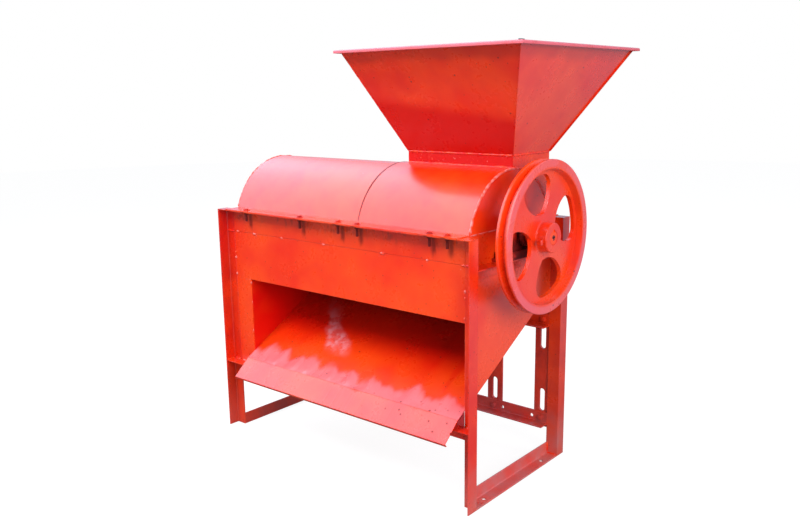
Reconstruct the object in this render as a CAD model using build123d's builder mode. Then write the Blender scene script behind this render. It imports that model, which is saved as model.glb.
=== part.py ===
from build123d import *
from math import atan2, cos, radians, sin, sqrt, tan
import os

os.makedirs("parts", exist_ok=True)

# All sizes are in millimetres and degrees. X runs along the rotor shaft towards the pulley, Y runs from the
# grain chute at the front to the motor posts at the back, Z is up. The origin is on the floor, midway
# between the legs.

# Frame of angle iron
frame_length = 1044.0
frame_depth = 530.0
frame_height = 777.0
angle_width = 40.0
angle_thickness = 4.0
angle_root_radius = 4.0
angle_toe_radius = 2.0
top_rail_web = 77.0
front_rail_drop = 535.0
rear_middle_rail_drop = 349.0
rear_low_rail_base = 98.0
rail_end_gap = 4.5

# Anchor holes in the base rails
anchor_hole_diameter = 13.0
anchor_spacing_y = 320.0

# Sheet metal of the body
sheet = 2.5
panel_depth = 160.0
rear_panel_lap = 9.0
cob_passage = 70.0
shaft_hole_diameter = 64.0

# Grain chute
chute_height_over_rail = 45.0
chute_slope = 30.0
apron_slope = 41.0
apron_fold_reach = 29.0
apron_length = 79.0
apron_hem = 12.0
apron_fold_radius = 1.5

# Shaft, bearings and threshing drum
shaft_drop = 20.0
shaft_diameter = 40.0
shaft_left_overhang = 42.0
shaft_centre_hole = 8.0
shaft_chamfer = 1.5
fit_gap = 0.05
drum_radius = 80.0
drum_wall = 4.0
drum_disc = 8.0
drum_left_gap = 5.5
drum_right_gap = 7.5
peg_size = 12.0
peg_rows = 4
pegs_per_row = 15
peg_row_twist = 60.0
peg_end_margin = 20.0
paddle_tip_gap = 25.0
paddle_thickness = 6.0
paddle_count = 4
paddle_side_gap = 8.0

# Concave grate under the drum
concave_gap = 31.0
grate_side_gap = 10.0
grate_bar_diameter = 10.0
grate_bar_count = 25
grate_first_angle = 184.0
grate_bars_span = 172.0
grate_bar_lift = 2.0
grate_rib_depth = 25.0
grate_rib_thickness = 8.0
grate_rib_count = 5
grate_side_bar = 12.0

# Pillow blocks
bearing_standoff = 24.0
bearing_height = 57.0
bearing_base_length = 190.0
bearing_base_width = 47.0
bearing_base_corner = 10.0
bearing_base_thickness = 16.0
bearing_body_radius = 49.0
bearing_body_width = 34.0
bearing_outer_radius = 40.0
bearing_ring_width = 20.0
bearing_inner_radius = 27.0
bearing_inner_length = 46.0
bearing_inner_overhang = 3.0
bearing_ring_chamfer = 1.0
bearing_collar_radius = 31.0
bearing_collar_length = 14.0
bearing_bolt_spacing = 150.0
bearing_slot_length = 20.0
bearing_foot_top = 45.0
bearing_foot_base = 55.0
bearing_foot_rise = 49.0
packing_length = 204.0
packing_height = 10.0

# Pulley
pulley_standoff = 62.0
pulley_width = 38.0
pulley_radius = 216.0
pulley_rim = 29.0
pulley_rim_draft = 3.0
pulley_rim_rounding = 2.0
groove_top_width = 22.0
groove_depth = 18.0
groove_angle = 38.0
pulley_web = 12.0
pulley_web_recess = 21.0
hub_radius = 42.0
hub_root_fillet = 5.0
hub_chamfer = 2.0
hub_lead = 6.0
hub_length = 56.0
window_count = 4
window_first_angle = 15.0
window_hub_band = 23.0
window_rim_band = 12.0
window_half_angle = 29.0
window_top_half_angle = 24.0
window_tip_half_angle = 9.0
window_tip_lean = 7.0
window_corner = 33.0
window_tip_corner = 7.0
key_width = 12.0
key_height = 8.0
key_length = 50.0
key_depth_in_shaft = 5.0
key_end_gap = 2.0
set_screw_diameter = 10.0
set_screw_inset = 12.0
set_screw_angle = 186.0
set_screw_head = 15.0
set_screw_head_height = 9.0
set_screw_head_standoff = 10.0
set_screw_head_chamfer = 1.2
set_screw_head_corner = 1.5

# Drum cover in two pieces
cover_side_gap = 10.0
cover_axis_drop = 31.0
right_cover_length = 404.0
cover_lap = 20.0
cover_joint_gap = 0.3
weld_gap = 0.2
left_end_bolt_inset = 87.0
left_middle_bolt_shift = 45.5
left_seam_bolt_inset = 50.0
right_seam_bolt_inset = 28.0
right_inner_bolt_inset = 107.0
right_end_bolt_inset = 46.0

# Hopper
throat_length = 380.0
throat_rear_inset = 15.0
throat_rise = 37.0
throat_lip = 8.0
hopper_depth = 299.0
hopper_left_reach = 76.0
hopper_right_reach = 155.0
hopper_front_reach = 217.0
hopper_rear_reach = 217.0
rim_flange = 13.0
rim_lip = 9.0
rim_bend_radius = 1.5

# Motor posts
post_width = 56.0
post_thickness = 8.0
post_corner = 4.0
post_edge_chamfer = 1.0
post_overhang = 10.0
post_spacing = 181.0
post_inset = 22.0
slot_width = 20.0
slot_length = 76.0
low_slot_rise = 80.0
high_slot_drop = 40.0
spare_hole_inset = 34.0

# Fasteners
cover_bolt_diameter = 8.0
cover_bolt_inset = 19.0
cover_bolt_length = 36.0
bearing_bolt_diameter = 12.0
bearing_bolt_length = 50.0
post_bolt_diameter = 10.0
post_bolt_length = 28.0
hole_clearance = 1.0

# Places worked out from the sizes above
side_x = frame_length / 2
toe_x = side_x - angle_width
heel_y = frame_depth / 2 - angle_width
front_toe_y = -frame_depth / 2
plate_x = toe_x - sheet
divider_x = -toe_x + cob_passage
chute_left = divider_x + sheet
chute_rise = tan(radians(chute_slope))
front_face_y = -heel_y - angle_thickness
front_rail_top = frame_height - front_rail_drop
rear_middle_rail_base = frame_height - rear_middle_rail_drop
panel_bottom = frame_height - top_rail_web - panel_depth
chute_height_at_panel = front_rail_top + chute_height_over_rail
shaft_height = frame_height - shaft_drop
shaft_radius = shaft_diameter / 2
bearing_rail_top = shaft_height - bearing_height - packing_height
bearing_centre_x = toe_x + bearing_standoff
grate_outer_radius = heel_y - grate_side_gap
grate_rib_radius = grate_outer_radius - grate_rib_depth
grate_bar_circle = grate_rib_radius - grate_bar_lift
peg_tip_radius = grate_bar_circle - grate_bar_diameter / 2 - concave_gap
paddle_tip_radius = grate_rib_radius - paddle_tip_gap
drum_left = -plate_x + drum_left_gap
drum_right = plate_x - drum_right_gap
pulley_inner_face = bearing_centre_x + pulley_standoff
pulley_outer_face = pulley_inner_face + pulley_width
web_outer_face = pulley_outer_face - pulley_web_recess
web_inner_face = web_outer_face - pulley_web
rim_inner = pulley_radius - pulley_rim
hub_start = pulley_inner_face - hub_lead
hub_end = hub_start + hub_length
window_inner_radius = hub_radius + window_hub_band
window_outer_radius = rim_inner - window_rim_band
window_bulge_radius = (window_inner_radius + window_outer_radius) / 2
cover_radius = heel_y - cover_side_gap
cover_axis_height = shaft_height - cover_axis_drop
cover_seam = toe_x - right_cover_length
cover_bolt_y = frame_depth / 2 - cover_bolt_inset
left_end_bolt_x = -toe_x + left_end_bolt_inset
left_seam_bolt_x = cover_seam - left_seam_bolt_inset
left_middle_bolt_x = (left_end_bolt_x + left_seam_bolt_x) / 2 + left_middle_bolt_shift
left_cover_bolts = (left_end_bolt_x, left_middle_bolt_x, left_seam_bolt_x)
right_cover_bolts = (
    cover_seam + right_seam_bolt_inset,
    toe_x - right_inner_bolt_inset,
    toe_x - right_end_bolt_inset,
)
throat_left = toe_x - throat_length
throat_depth = cover_radius - throat_rear_inset
throat_top = cover_axis_height + cover_radius + throat_rise
rim_height = throat_top + hopper_depth
rim_left = throat_left - hopper_left_reach
rim_right = toe_x + hopper_right_reach
rim_front = -hopper_front_reach
rim_rear = throat_depth + hopper_rear_reach


def angle_bar(heel, first_way, second_way, run, length, first_leg=angle_width, second_leg=angle_width):
    """One length of angle iron: its heel starts at a point, its two flanges go first_way and second_way."""
    normal = Vector(*first_way).cross(Vector(*second_way))
    section_plane = Plane(origin=heel, x_dir=first_way, z_dir=normal)
    signed_length = length if normal.dot(Vector(*run)) > 0 else -length
    root = (angle_thickness, angle_thickness)
    first_toe = (first_leg, angle_thickness)
    second_toe = (angle_thickness, second_leg)
    with BuildPart() as bar:
        with BuildSketch(section_plane) as section:
            with BuildLine():
                Polyline((0, 0), (first_leg, 0), first_toe, root, second_toe, (0, second_leg), close=True)
            make_face()
            fillet(section.vertices().sort_by_distance(root)[0], radius=angle_root_radius)
            fillet(section.vertices().sort_by_distance(first_toe)[0], radius=angle_toe_radius)
            fillet(section.vertices().sort_by_distance(second_toe)[0], radius=angle_toe_radius)
        extrude(amount=signed_length)
    return bar


def chute_top_at(y):
    """Height of the chute's upper face inside the body."""
    return chute_height_at_panel + chute_rise * (y - front_face_y)


# Legs, each with one flange on the side of the frame and one flange across it
leg_height = frame_height - angle_thickness
for side, side_name in ((1, "right"), (-1, "left")):
    for end, end_name in ((-1, "front"), (1, "rear")):
        leg = angle_bar((side * side_x, end * heel_y, 0), (0, end, 0), (-side, 0, 0), (0, 0, 1), leg_height)
        leg.part.label = f"{end_name}_{side_name}_leg"
        export_step(leg.part, f"parts/{end_name}_{side_name}_leg.step")

# Base rails lie on the floor between the legs and carry the anchor holes
for side, rail_name in ((1, "right_base_rail"), (-1, "left_base_rail")):
    base = angle_bar((side * toe_x, -heel_y, 0), (side, 0, 0), (0, 0, 1), (0, 1, 0), 2 * heel_y)
    with BuildPart() as base_rail:
        add(base.part)
        with Locations(Plane.XY.offset(angle_thickness)):
            with Locations((side * (toe_x + side_x) / 2, 0)):
                with GridLocations(0, anchor_spacing_y, 1, 2):
                    Hole(radius=anchor_hole_diameter / 2, depth=angle_thickness)
    base_rail.part.label = rail_name
    export_step(base_rail.part, f"parts/{rail_name}.step")

# Bearing rails between the legs, their top flange pointing outward
for side, rail_name in ((1, "right_bearing_rail"), (-1, "left_bearing_rail")):
    bearing_bar = angle_bar(
        (side * toe_x, -heel_y, bearing_rail_top), (side, 0, 0), (0, 0, -1), (0, 1, 0), 2 * heel_y
    )
    with BuildPart() as bearing_rail:
        add(bearing_bar.part)
        with Locations(Plane.XY.offset(bearing_rail_top)):
            with Locations((side * bearing_centre_x, 0)):
                with GridLocations(0, bearing_bolt_spacing, 1, 2):
                    Hole(radius=(bearing_bolt_diameter + hole_clearance) / 2, depth=angle_thickness)
    bearing_rail.part.label = rail_name
    export_step(bearing_rail.part, f"parts/{rail_name}.step")

# Front and rear top rails: the top flange lies on the legs, the deep web hangs between them
for end, rail_name in ((-1, "front_top_rail"), (1, "rear_top_rail")):
    top_bar = angle_bar(
        (-side_x, end * heel_y, frame_height), (0, end, 0), (0, 0, -1), (1, 0, 0), frame_length,
        second_leg=top_rail_web,
    )
    with BuildPart() as top_rail:
        add(top_bar.part)
        with Locations((side_x, end * frame_depth / 2, 0), (-side_x, end * frame_depth / 2, 0)):
            Box(2 * angle_width, 4 * angle_width, 2 * leg_height, mode=Mode.SUBTRACT)
        with Locations(Plane.XY.offset(frame_height)):
            with Locations([(x, end * cover_bolt_y) for x in left_cover_bolts + right_cover_bolts]):
                Hole(radius=(cover_bolt_diameter + hole_clearance) / 2, depth=angle_thickness)
    top_rail.part.label = rail_name
    export_step(top_rail.part, f"parts/{rail_name}.step")

# Front lower rail under the apron, its web notched between the legs
low_bar = angle_bar(
    (-side_x + rail_end_gap, -heel_y, front_rail_top), (0, -1, 0), (0, 0, -1), (1, 0, 0),
    frame_length - 2 * rail_end_gap,
)
with BuildPart() as front_lower_rail:
    add(low_bar.part)
    notch_depth = 2 * angle_thickness
    with Locations((side_x, -heel_y, front_rail_top), (-side_x, -heel_y, front_rail_top)):
        Box(2 * angle_width, notch_depth, 4 * angle_width, mode=Mode.SUBTRACT)
    with Locations((side_x, front_toe_y, 0), (-side_x, front_toe_y, 0)):
        Box(2 * angle_width, 4 * angle_width, 2 * (front_rail_top - angle_thickness), mode=Mode.SUBTRACT)
    # The flange ends are clipped clear of the rounded root inside each leg
    for end_number in (0, -1):
        end_edges = front_lower_rail.edges().filter_by(Axis.Z).group_by(Axis.X)[end_number]
        chamfer(end_edges.sort_by(Axis.Y)[-1], length=angle_root_radius)
front_lower_rail.part.label = "front_lower_rail"
export_step(front_lower_rail.part, "parts/front_lower_rail.step")

# Rear rails that carry the motor posts
outer_post_x = toe_x - post_inset
post_bolt_xs = (outer_post_x - post_spacing, outer_post_x)
post_bolt_heights = (rear_low_rail_base + angle_width / 2, rear_middle_rail_base + angle_width / 2)
rear_back_y = heel_y + angle_thickness
rear_hole_plane = Plane(origin=(0, heel_y, 0), x_dir=(-1, 0, 0), z_dir=(0, 1, 0))
rear_rails = ((rear_low_rail_base, "rear_lower_rail"), (rear_middle_rail_base, "rear_middle_rail"))
for rail_base, rail_name in rear_rails:
    rear_bar = angle_bar((-toe_x, rear_back_y, rail_base), (0, 0, 1), (0, -1, 0), (1, 0, 0), 2 * toe_x)
    hole_xs = list(post_bolt_xs)
    if rail_name == "rear_lower_rail":
        hole_xs += [post_bolt_xs[0] + spare_hole_inset, post_bolt_xs[1] - spare_hole_inset]
    with BuildPart() as rear_rail:
        add(rear_bar.part)
        with BuildSketch(rear_hole_plane):
            with Locations([(-x, rail_base + angle_width / 2) for x in hole_xs]):
                Circle((post_bolt_diameter + hole_clearance) / 2)
        extrude(amount=2 * angle_thickness, both=True, mode=Mode.SUBTRACT)
    rear_rail.part.label = rail_name
    export_step(rear_rail.part, f"parts/{rail_name}.step")

# Slotted posts for the motor, bolted on the back of the rear rails
post_bottom = rear_low_rail_base - post_overhang
post_top = rear_middle_rail_base + angle_width + post_overhang
low_slot_height = rear_low_rail_base + low_slot_rise
high_slot_height = rear_middle_rail_base - high_slot_drop
post_plane = Plane(origin=(0, rear_back_y, 0), x_dir=(-1, 0, 0), z_dir=(0, 1, 0))
for post_x, post_name in zip(post_bolt_xs, ("inner_motor_post", "outer_motor_post")):
    with BuildPart() as motor_post:
        with BuildSketch(post_plane):
            with Locations((-post_x, (post_bottom + post_top) / 2)):
                RectangleRounded(post_width, post_top - post_bottom, post_corner)
            with Locations((-post_x, low_slot_height), (-post_x, high_slot_height)):
                SlotOverall(slot_length, slot_width, rotation=90, mode=Mode.SUBTRACT)
            with Locations([(-post_x, z) for z in post_bolt_heights]):
                Circle((post_bolt_diameter + hole_clearance) / 2, mode=Mode.SUBTRACT)
        extrude(amount=post_thickness)
        post_back = motor_post.faces().sort_by(Axis.Y)[-1]
        chamfer(post_back.outer_wire().edges(), length=post_edge_chamfer)
    motor_post.part.label = post_name
    export_step(motor_post.part, f"parts/{post_name}.step")

# Front panel over the grain outlet, and the narrow strip that closes the cob passage in front
with BuildPart() as front_panel:
    with BuildSketch(Plane.XZ.offset(heel_y)):
        with Locations((0, (panel_bottom + frame_height - top_rail_web) / 2)):
            Rectangle(2 * toe_x, frame_height - top_rail_web - panel_bottom)
    extrude(amount=sheet)
front_panel.part.label = "front_panel"
export_step(front_panel.part, "parts/front_panel.step")

with BuildPart() as passage_strip:
    with BuildSketch(Plane.XZ.offset(heel_y)):
        with Locations(((-toe_x + chute_left) / 2, (front_rail_top + panel_bottom) / 2)):
            Rectangle(chute_left + toe_x, panel_bottom - front_rail_top)
    extrude(amount=sheet)
passage_strip.part.label = "passage_strip"
export_step(passage_strip.part, "parts/passage_strip.step")

# Rear panel from the upper end of the chute to the rear top rail
rear_panel_bottom = chute_top_at(heel_y) - rear_panel_lap
with BuildPart() as rear_panel:
    with BuildSketch(Plane.XZ.offset(-heel_y)):
        with Locations((0, (rear_panel_bottom + frame_height - top_rail_web) / 2)):
            Rectangle(2 * toe_x, frame_height - top_rail_web - rear_panel_bottom)
    extrude(amount=-sheet)
rear_panel.part.label = "rear_panel"
export_step(rear_panel.part, "parts/rear_panel.step")

# Side plates with their slanted lower edge along the chute
chute_drop = sheet / cos(radians(chute_slope))
plate_front_bottom = chute_top_at(-heel_y) - chute_drop
plate_rear_bottom = chute_top_at(heel_y) - chute_drop
for plate_start, plate_name in ((plate_x, "right_side_plate"), (-toe_x, "left_side_plate")):
    with BuildPart() as side_plate:
        with BuildSketch(Plane.YZ.offset(plate_start)):
            with BuildLine():
                Polyline(
                    (-heel_y, plate_front_bottom),
                    (heel_y, plate_rear_bottom),
                    (heel_y, frame_height),
                    (-heel_y, frame_height),
                    close=True,
                )
            make_face()
            with Locations((0, shaft_height)):
                Circle(shaft_hole_diameter / 2, mode=Mode.SUBTRACT)
            # The hole is open upwards, so the cover and the drum lift off together
            with Locations((0, (shaft_height + frame_height) / 2)):
                Rectangle(shaft_hole_diameter, frame_height - shaft_height, mode=Mode.SUBTRACT)
        extrude(amount=sheet)
    side_plate.part.label = plate_name
    export_step(side_plate.part, f"parts/{plate_name}.step")

# Divider between the grain chute and the cob passage, cut out around the drum
divider_top = shaft_height
with BuildPart() as divider:
    with BuildSketch(Plane.YZ.offset(divider_x)):
        with BuildLine():
            Polyline(
                (-heel_y, plate_front_bottom),
                (heel_y, plate_rear_bottom),
                (heel_y, divider_top),
                (-heel_y, divider_top),
                close=True,
            )
        make_face()
        with Locations((0, shaft_height)):
            Circle(grate_rib_radius, mode=Mode.SUBTRACT)
    extrude(amount=sheet)
divider.part.label = "chute_divider"
export_step(divider.part, "parts/chute_divider.step")

# Grain chute: one sheet with the floor inside, a fold past the panel, the apron and its hem
fold_y = front_face_y - apron_fold_reach
fold_z = chute_top_at(fold_y)
apron_y = fold_y - apron_length * cos(radians(apron_slope))
apron_z = fold_z - apron_length * sin(radians(apron_slope))
hem_y = apron_y + apron_hem * sin(radians(apron_slope))
hem_z = apron_z - apron_hem * cos(radians(apron_slope))
with BuildPart() as grain_chute:
    with BuildSketch(Plane.YZ.offset(chute_left)) as chute_section:
        with BuildLine() as chute_line:
            Polyline(
                (heel_y, chute_top_at(heel_y)),
                (fold_y, fold_z),
                (apron_y, apron_z),
                (hem_y, hem_z),
            )
            offset(amount=sheet, side=Side.LEFT)
        make_face()
    extrude(amount=plate_x - chute_left)
    # The upper end is cut plumb, so that it meets the rear panel flat
    split(bisect_by=Plane.XZ.offset(-heel_y), keep=Keep.TOP)
    hem_fold = grain_chute.edges().filter_by(Axis.X).sort_by(Axis.Y)[0]
    fillet(hem_fold, radius=apron_fold_radius)
grain_chute.part.label = "grain_chute"
export_step(grain_chute.part, "parts/grain_chute.step")

# Sill that carries the chute on the front lower rail
sill_top = chute_top_at(-heel_y - sheet) - chute_drop
with BuildPart() as chute_sill:
    with BuildSketch(Plane.XZ.offset(heel_y)):
        with Locations(((chute_left + plate_x) / 2, (front_rail_top + sill_top) / 2)):
            Rectangle(plate_x - chute_left, sill_top - front_rail_top)
    extrude(amount=sheet)
chute_sill.part.label = "chute_sill"
export_step(chute_sill.part, "parts/chute_sill.step")

# Concave grate: round bars lie in notches of curved ribs, which hang from two side bars
grate_plane = Plane.YZ.offset(chute_left)
grate_length = plate_x - chute_left
rib_step = (grate_length - grate_rib_thickness) / (grate_rib_count - 1)
grate_bar_places = []
for bar_number in range(grate_bar_count):
    angle = radians(grate_first_angle + bar_number * grate_bars_span / (grate_bar_count - 1))
    bar_y = grate_bar_circle * cos(angle)
    grate_bar_places.append((bar_y, shaft_height + grate_bar_circle * sin(angle)))

with BuildPart() as grate_bars:
    with BuildSketch(grate_plane):
        with Locations(grate_bar_places):
            Circle(grate_bar_diameter / 2)
    extrude(amount=grate_length)
grate_bars.part.label = "grate_bars"
export_step(grate_bars.part, "parts/grate_bars.step")

with BuildPart() as grate_ribs:
    for rib_number in range(grate_rib_count):
        with BuildSketch(grate_plane.offset(rib_number * rib_step)):
            with Locations((0, shaft_height)):
                Circle(grate_outer_radius)
                Circle(grate_rib_radius, mode=Mode.SUBTRACT)
            with Locations(grate_bar_places):
                Circle(grate_bar_diameter / 2 + fit_gap, mode=Mode.SUBTRACT)
        extrude(amount=grate_rib_thickness)
    split(bisect_by=Plane.XY.offset(shaft_height), keep=Keep.BOTTOM)
grate_ribs.part.label = "grate_ribs"
export_step(grate_ribs.part, "parts/grate_ribs.step")

with BuildPart() as grate_side_bars:
    with BuildSketch(grate_plane):
        side_bar_y = grate_rib_radius + grate_rib_depth / 2
        with Locations((side_bar_y, shaft_height), (-side_bar_y, shaft_height)):
            Rectangle(grate_rib_depth, grate_side_bar, align=(Align.CENTER, Align.MIN))
    extrude(amount=grate_length)
grate_side_bars.part.label = "grate_side_bars"
export_step(grate_side_bars.part, "parts/grate_side_bars.step")

# Drum cover: an arched sheet with a folded flange on each side, in two lengths that lap at the seam
left_outer = cover_radius
left_inner = left_outer - sheet
right_inner = left_outer + cover_joint_gap
right_outer = right_inner + sheet
base_drop = frame_height - cover_axis_height


def arch(plane, inner_radius, outer_radius, length):
    """The arched part of a cover, from the frame's top upwards."""
    with BuildPart() as shell:
        with BuildSketch(plane):
            with Locations((0, cover_axis_height)):
                Circle(outer_radius)
                Circle(inner_radius, mode=Mode.SUBTRACT)
        extrude(amount=length)
        split(bisect_by=Plane.XY.offset(frame_height), keep=Keep.TOP)
    return shell.part


def flanges(plane, arch_radius, length):
    """The two flat flanges that lie on the top rails."""
    inner_edge = sqrt(arch_radius**2 - base_drop**2)
    flange_width = frame_depth / 2 - inner_edge
    middle = (frame_depth / 2 + inner_edge) / 2
    with BuildPart() as pair:
        with BuildSketch(plane):
            with Locations((middle, frame_height), (-middle, frame_height)):
                Rectangle(flange_width, sheet, align=(Align.CENTER, Align.MIN))
        extrude(amount=length)
    return pair.part


def flange_bolt_places(bolt_xs):
    """Bolt positions along both flanges."""
    return [(x, y) for x in bolt_xs for y in (-cover_bolt_y, cover_bolt_y)]


with BuildPart() as left_cover:
    add(arch(Plane.YZ.offset(-toe_x), left_inner, left_outer, toe_x + cover_seam + cover_lap))
    add(flanges(Plane.YZ.offset(-toe_x), left_outer - sheet / 2, toe_x + cover_seam - cover_joint_gap))
    with Locations(Plane.XY.offset(frame_height + sheet)):
        with Locations(flange_bolt_places(left_cover_bolts)):
            Hole(radius=(cover_bolt_diameter + hole_clearance) / 2, depth=sheet)
left_cover.part.label = "left_cover"
export_step(left_cover.part, "parts/left_cover.step")

with BuildPart() as right_cover:
    add(arch(Plane.YZ.offset(cover_seam), right_inner, right_outer, toe_x - cover_seam))
    add(flanges(Plane.YZ.offset(cover_seam), right_outer - sheet / 2, toe_x - cover_seam))
    with Locations(Plane.XY.offset(frame_height + sheet)):
        with Locations(flange_bolt_places(right_cover_bolts)):
            Hole(radius=(cover_bolt_diameter + hole_clearance) / 2, depth=sheet)
    # Feed opening under the throat
    with BuildSketch(Plane.XY.offset(frame_height)):
        opening_length = toe_x - throat_left - 2 * throat_lip
        with Locations(((throat_left + toe_x) / 2, throat_depth / 2)):
            Rectangle(opening_length, throat_depth - 2 * throat_lip)
    extrude(amount=2 * cover_radius, mode=Mode.SUBTRACT)
right_cover.part.label = "right_cover"
export_step(right_cover.part, "parts/right_cover.step")

# End plates close the arches above the side plates
for plate_start, arch_radius, plate_name in (
    (plate_x, right_inner - weld_gap, "right_cover_end"),
    (-toe_x, left_inner - weld_gap, "left_cover_end"),
):
    with BuildPart() as cover_end:
        with BuildSketch(Plane.YZ.offset(plate_start)):
            with Locations((0, cover_axis_height)):
                Circle(arch_radius)
            with Locations((0, shaft_height)):
                Circle(shaft_hole_diameter / 2, mode=Mode.SUBTRACT)
        extrude(amount=sheet)
        split(bisect_by=Plane.XY.offset(frame_height), keep=Keep.TOP)
    cover_end.part.label = plate_name
    export_step(cover_end.part, f"parts/{plate_name}.step")

# Hopper throat: an upright box on the rear half of the right cover, its foot cut to the arch
with BuildPart() as hopper_throat:
    with BuildSketch(Plane.XY.offset(frame_height + sheet)):
        with Locations(((throat_left + toe_x) / 2, throat_depth / 2)):
            Rectangle(toe_x - throat_left, throat_depth)
            Rectangle(toe_x - throat_left - 2 * sheet, throat_depth - 2 * sheet, mode=Mode.SUBTRACT)
    extrude(amount=throat_top - frame_height - sheet)
    with BuildSketch(Plane.YZ.offset(0)):
        with Locations((0, cover_axis_height)):
            Circle(right_outer + weld_gap)
    extrude(amount=frame_length, mode=Mode.SUBTRACT)
hopper_throat.part.label = "hopper_throat"
export_step(hopper_throat.part, "parts/hopper_throat.step")

# Hopper walls: a tapered shell with a folded rim, parted along its four corner edges
throat_box = (throat_left, toe_x, 0.0, throat_depth)
rim_box = (rim_left, rim_right, rim_front, rim_rear)
hopper_rise = rim_height - throat_top
lean_left = sheet / cos(atan2(throat_left - rim_left, hopper_rise))
lean_right = sheet / cos(atan2(rim_right - toe_x, hopper_rise))
lean_front = sheet / cos(atan2(-rim_front, hopper_rise))
lean_rear = sheet / cos(atan2(rim_rear - throat_depth, hopper_rise))
corner_inset = {(-1, -1): (lean_left, lean_front), (1, -1): (-lean_right, lean_front)}
corner_inset |= {(1, 1): (-lean_right, -lean_rear), (-1, 1): (lean_left, -lean_rear)}


def box_sketch(height, box, grow=(0.0, 0.0, 0.0, 0.0)):
    """A rectangle at a height from its left, right, front and rear limits, each moved outward by grow."""
    left = box[0] - grow[0]
    right = box[1] + grow[1]
    front = box[2] - grow[2]
    rear = box[3] + grow[3]
    with BuildSketch(Plane.XY.offset(height)) as outline:
        with Locations(((left + right) / 2, (front + rear) / 2)):
            Rectangle(right - left, rear - front)
    return outline.sketch


inset = (-lean_left, -lean_right, -lean_front, -lean_rear)
flange_grow = (rim_flange,) * 4
lip_grow = (rim_flange - sheet,) * 4
with BuildPart() as funnel_outside:
    loft([box_sketch(throat_top, throat_box), box_sketch(rim_height, rim_box)])
with BuildPart() as funnel_inside:
    loft([box_sketch(throat_top, throat_box, inset), box_sketch(rim_height, rim_box, inset)])
# The rim is folded out and its edge turned down over a rounded bend
with BuildPart() as rim_outside:
    extrude(box_sketch(rim_height - rim_lip, rim_box, flange_grow), amount=rim_lip)
    fillet(rim_outside.faces().sort_by(Axis.Z)[-1].edges(), radius=rim_bend_radius + sheet)
with BuildPart() as rim_inside:
    extrude(box_sketch(rim_height - rim_lip, rim_box, lip_grow), amount=rim_lip - sheet)
    fillet(rim_inside.faces().sort_by(Axis.Z)[-1].edges(), radius=rim_bend_radius)
with BuildPart() as hopper_shell:
    add(rim_outside.part)
    add(rim_inside.part, mode=Mode.SUBTRACT)
    add(funnel_outside.part)
    add(funnel_inside.part, mode=Mode.SUBTRACT)

corner_places = {
    (-1, -1): ((throat_left, 0.0), (rim_left, rim_front)),
    (1, -1): ((toe_x, 0.0), (rim_right, rim_front)),
    (1, 1): ((toe_x, throat_depth), (rim_right, rim_rear)),
    (-1, 1): ((throat_left, throat_depth), (rim_left, rim_rear)),
}


def corner_plane(corner, towards):
    """The plane along one corner edge of the hopper, facing the wall whose direction is given."""
    low, high = corner_places[corner]
    start = Vector(low[0], low[1], throat_top)
    edge = Vector(high[0], high[1], rim_height) - start
    inward = Vector(*corner_inset[corner], 0)
    normal = edge.cross(inward)
    if normal.dot(Vector(*towards)) < 0:
        normal = -normal
    return Plane(origin=start, z_dir=normal)


wall_corners = {
    "hopper_front_wall": ((0, -1, 0), (-1, -1), (1, -1)),
    "hopper_right_wall": ((1, 0, 0), (1, -1), (1, 1)),
    "hopper_rear_wall": ((0, 1, 0), (1, 1), (-1, 1)),
    "hopper_left_wall": ((-1, 0, 0), (-1, 1), (-1, -1)),
}
throat_middle = ((throat_left + toe_x) / 2, throat_depth / 2, throat_top)
for wall_name, (facing, first_corner, second_corner) in wall_corners.items():
    with BuildPart() as hopper_wall:
        add(hopper_shell.part)
        split(bisect_by=corner_plane(first_corner, facing), keep=Keep.TOP)
        split(bisect_by=corner_plane(second_corner, facing), keep=Keep.TOP)
        split(bisect_by=Plane(origin=throat_middle, z_dir=facing), keep=Keep.TOP)
    hopper_wall.part.label = wall_name
    export_step(hopper_wall.part, f"parts/{wall_name}.step")

# Rotor shaft with the keyway for the pulley
shaft_plane = Plane(origin=(0, 0, shaft_height), x_dir=(0, 1, 0), z_dir=(1, 0, 0))
shaft_left_end = -bearing_centre_x - shaft_left_overhang
with BuildPart() as rotor_shaft:
    with BuildSketch(shaft_plane.offset(shaft_left_end)):
        Circle(shaft_radius)
    extrude(amount=hub_end - shaft_left_end)
    chamfer(rotor_shaft.edges().filter_by(GeomType.CIRCLE), length=shaft_chamfer)
    with Locations(Location((hub_end, 0, shaft_height), (0, -90, 0))):
        Cone(
            shaft_centre_hole / 2, 0, shaft_centre_hole,
            align=(Align.CENTER, Align.CENTER, Align.MIN), mode=Mode.SUBTRACT,
        )
    with BuildSketch(shaft_plane.offset(hub_end)):
        with Locations((0, shaft_radius)):
            Rectangle(key_width, 2 * key_depth_in_shaft)
    extrude(amount=-key_length, mode=Mode.SUBTRACT)
rotor_shaft.part.label = "rotor_shaft"
export_step(rotor_shaft.part, "parts/rotor_shaft.step")

with BuildPart() as pulley_key:
    with BuildSketch(shaft_plane.offset(hub_end - key_length)):
        with Locations((0, shaft_radius - key_depth_in_shaft)):
            Rectangle(key_width - 2 * fit_gap, key_height, align=(Align.CENTER, Align.MIN))
    extrude(amount=key_length - key_end_gap)
pulley_key.part.label = "pulley_key"
export_step(pulley_key.part, "parts/pulley_key.step")

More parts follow.
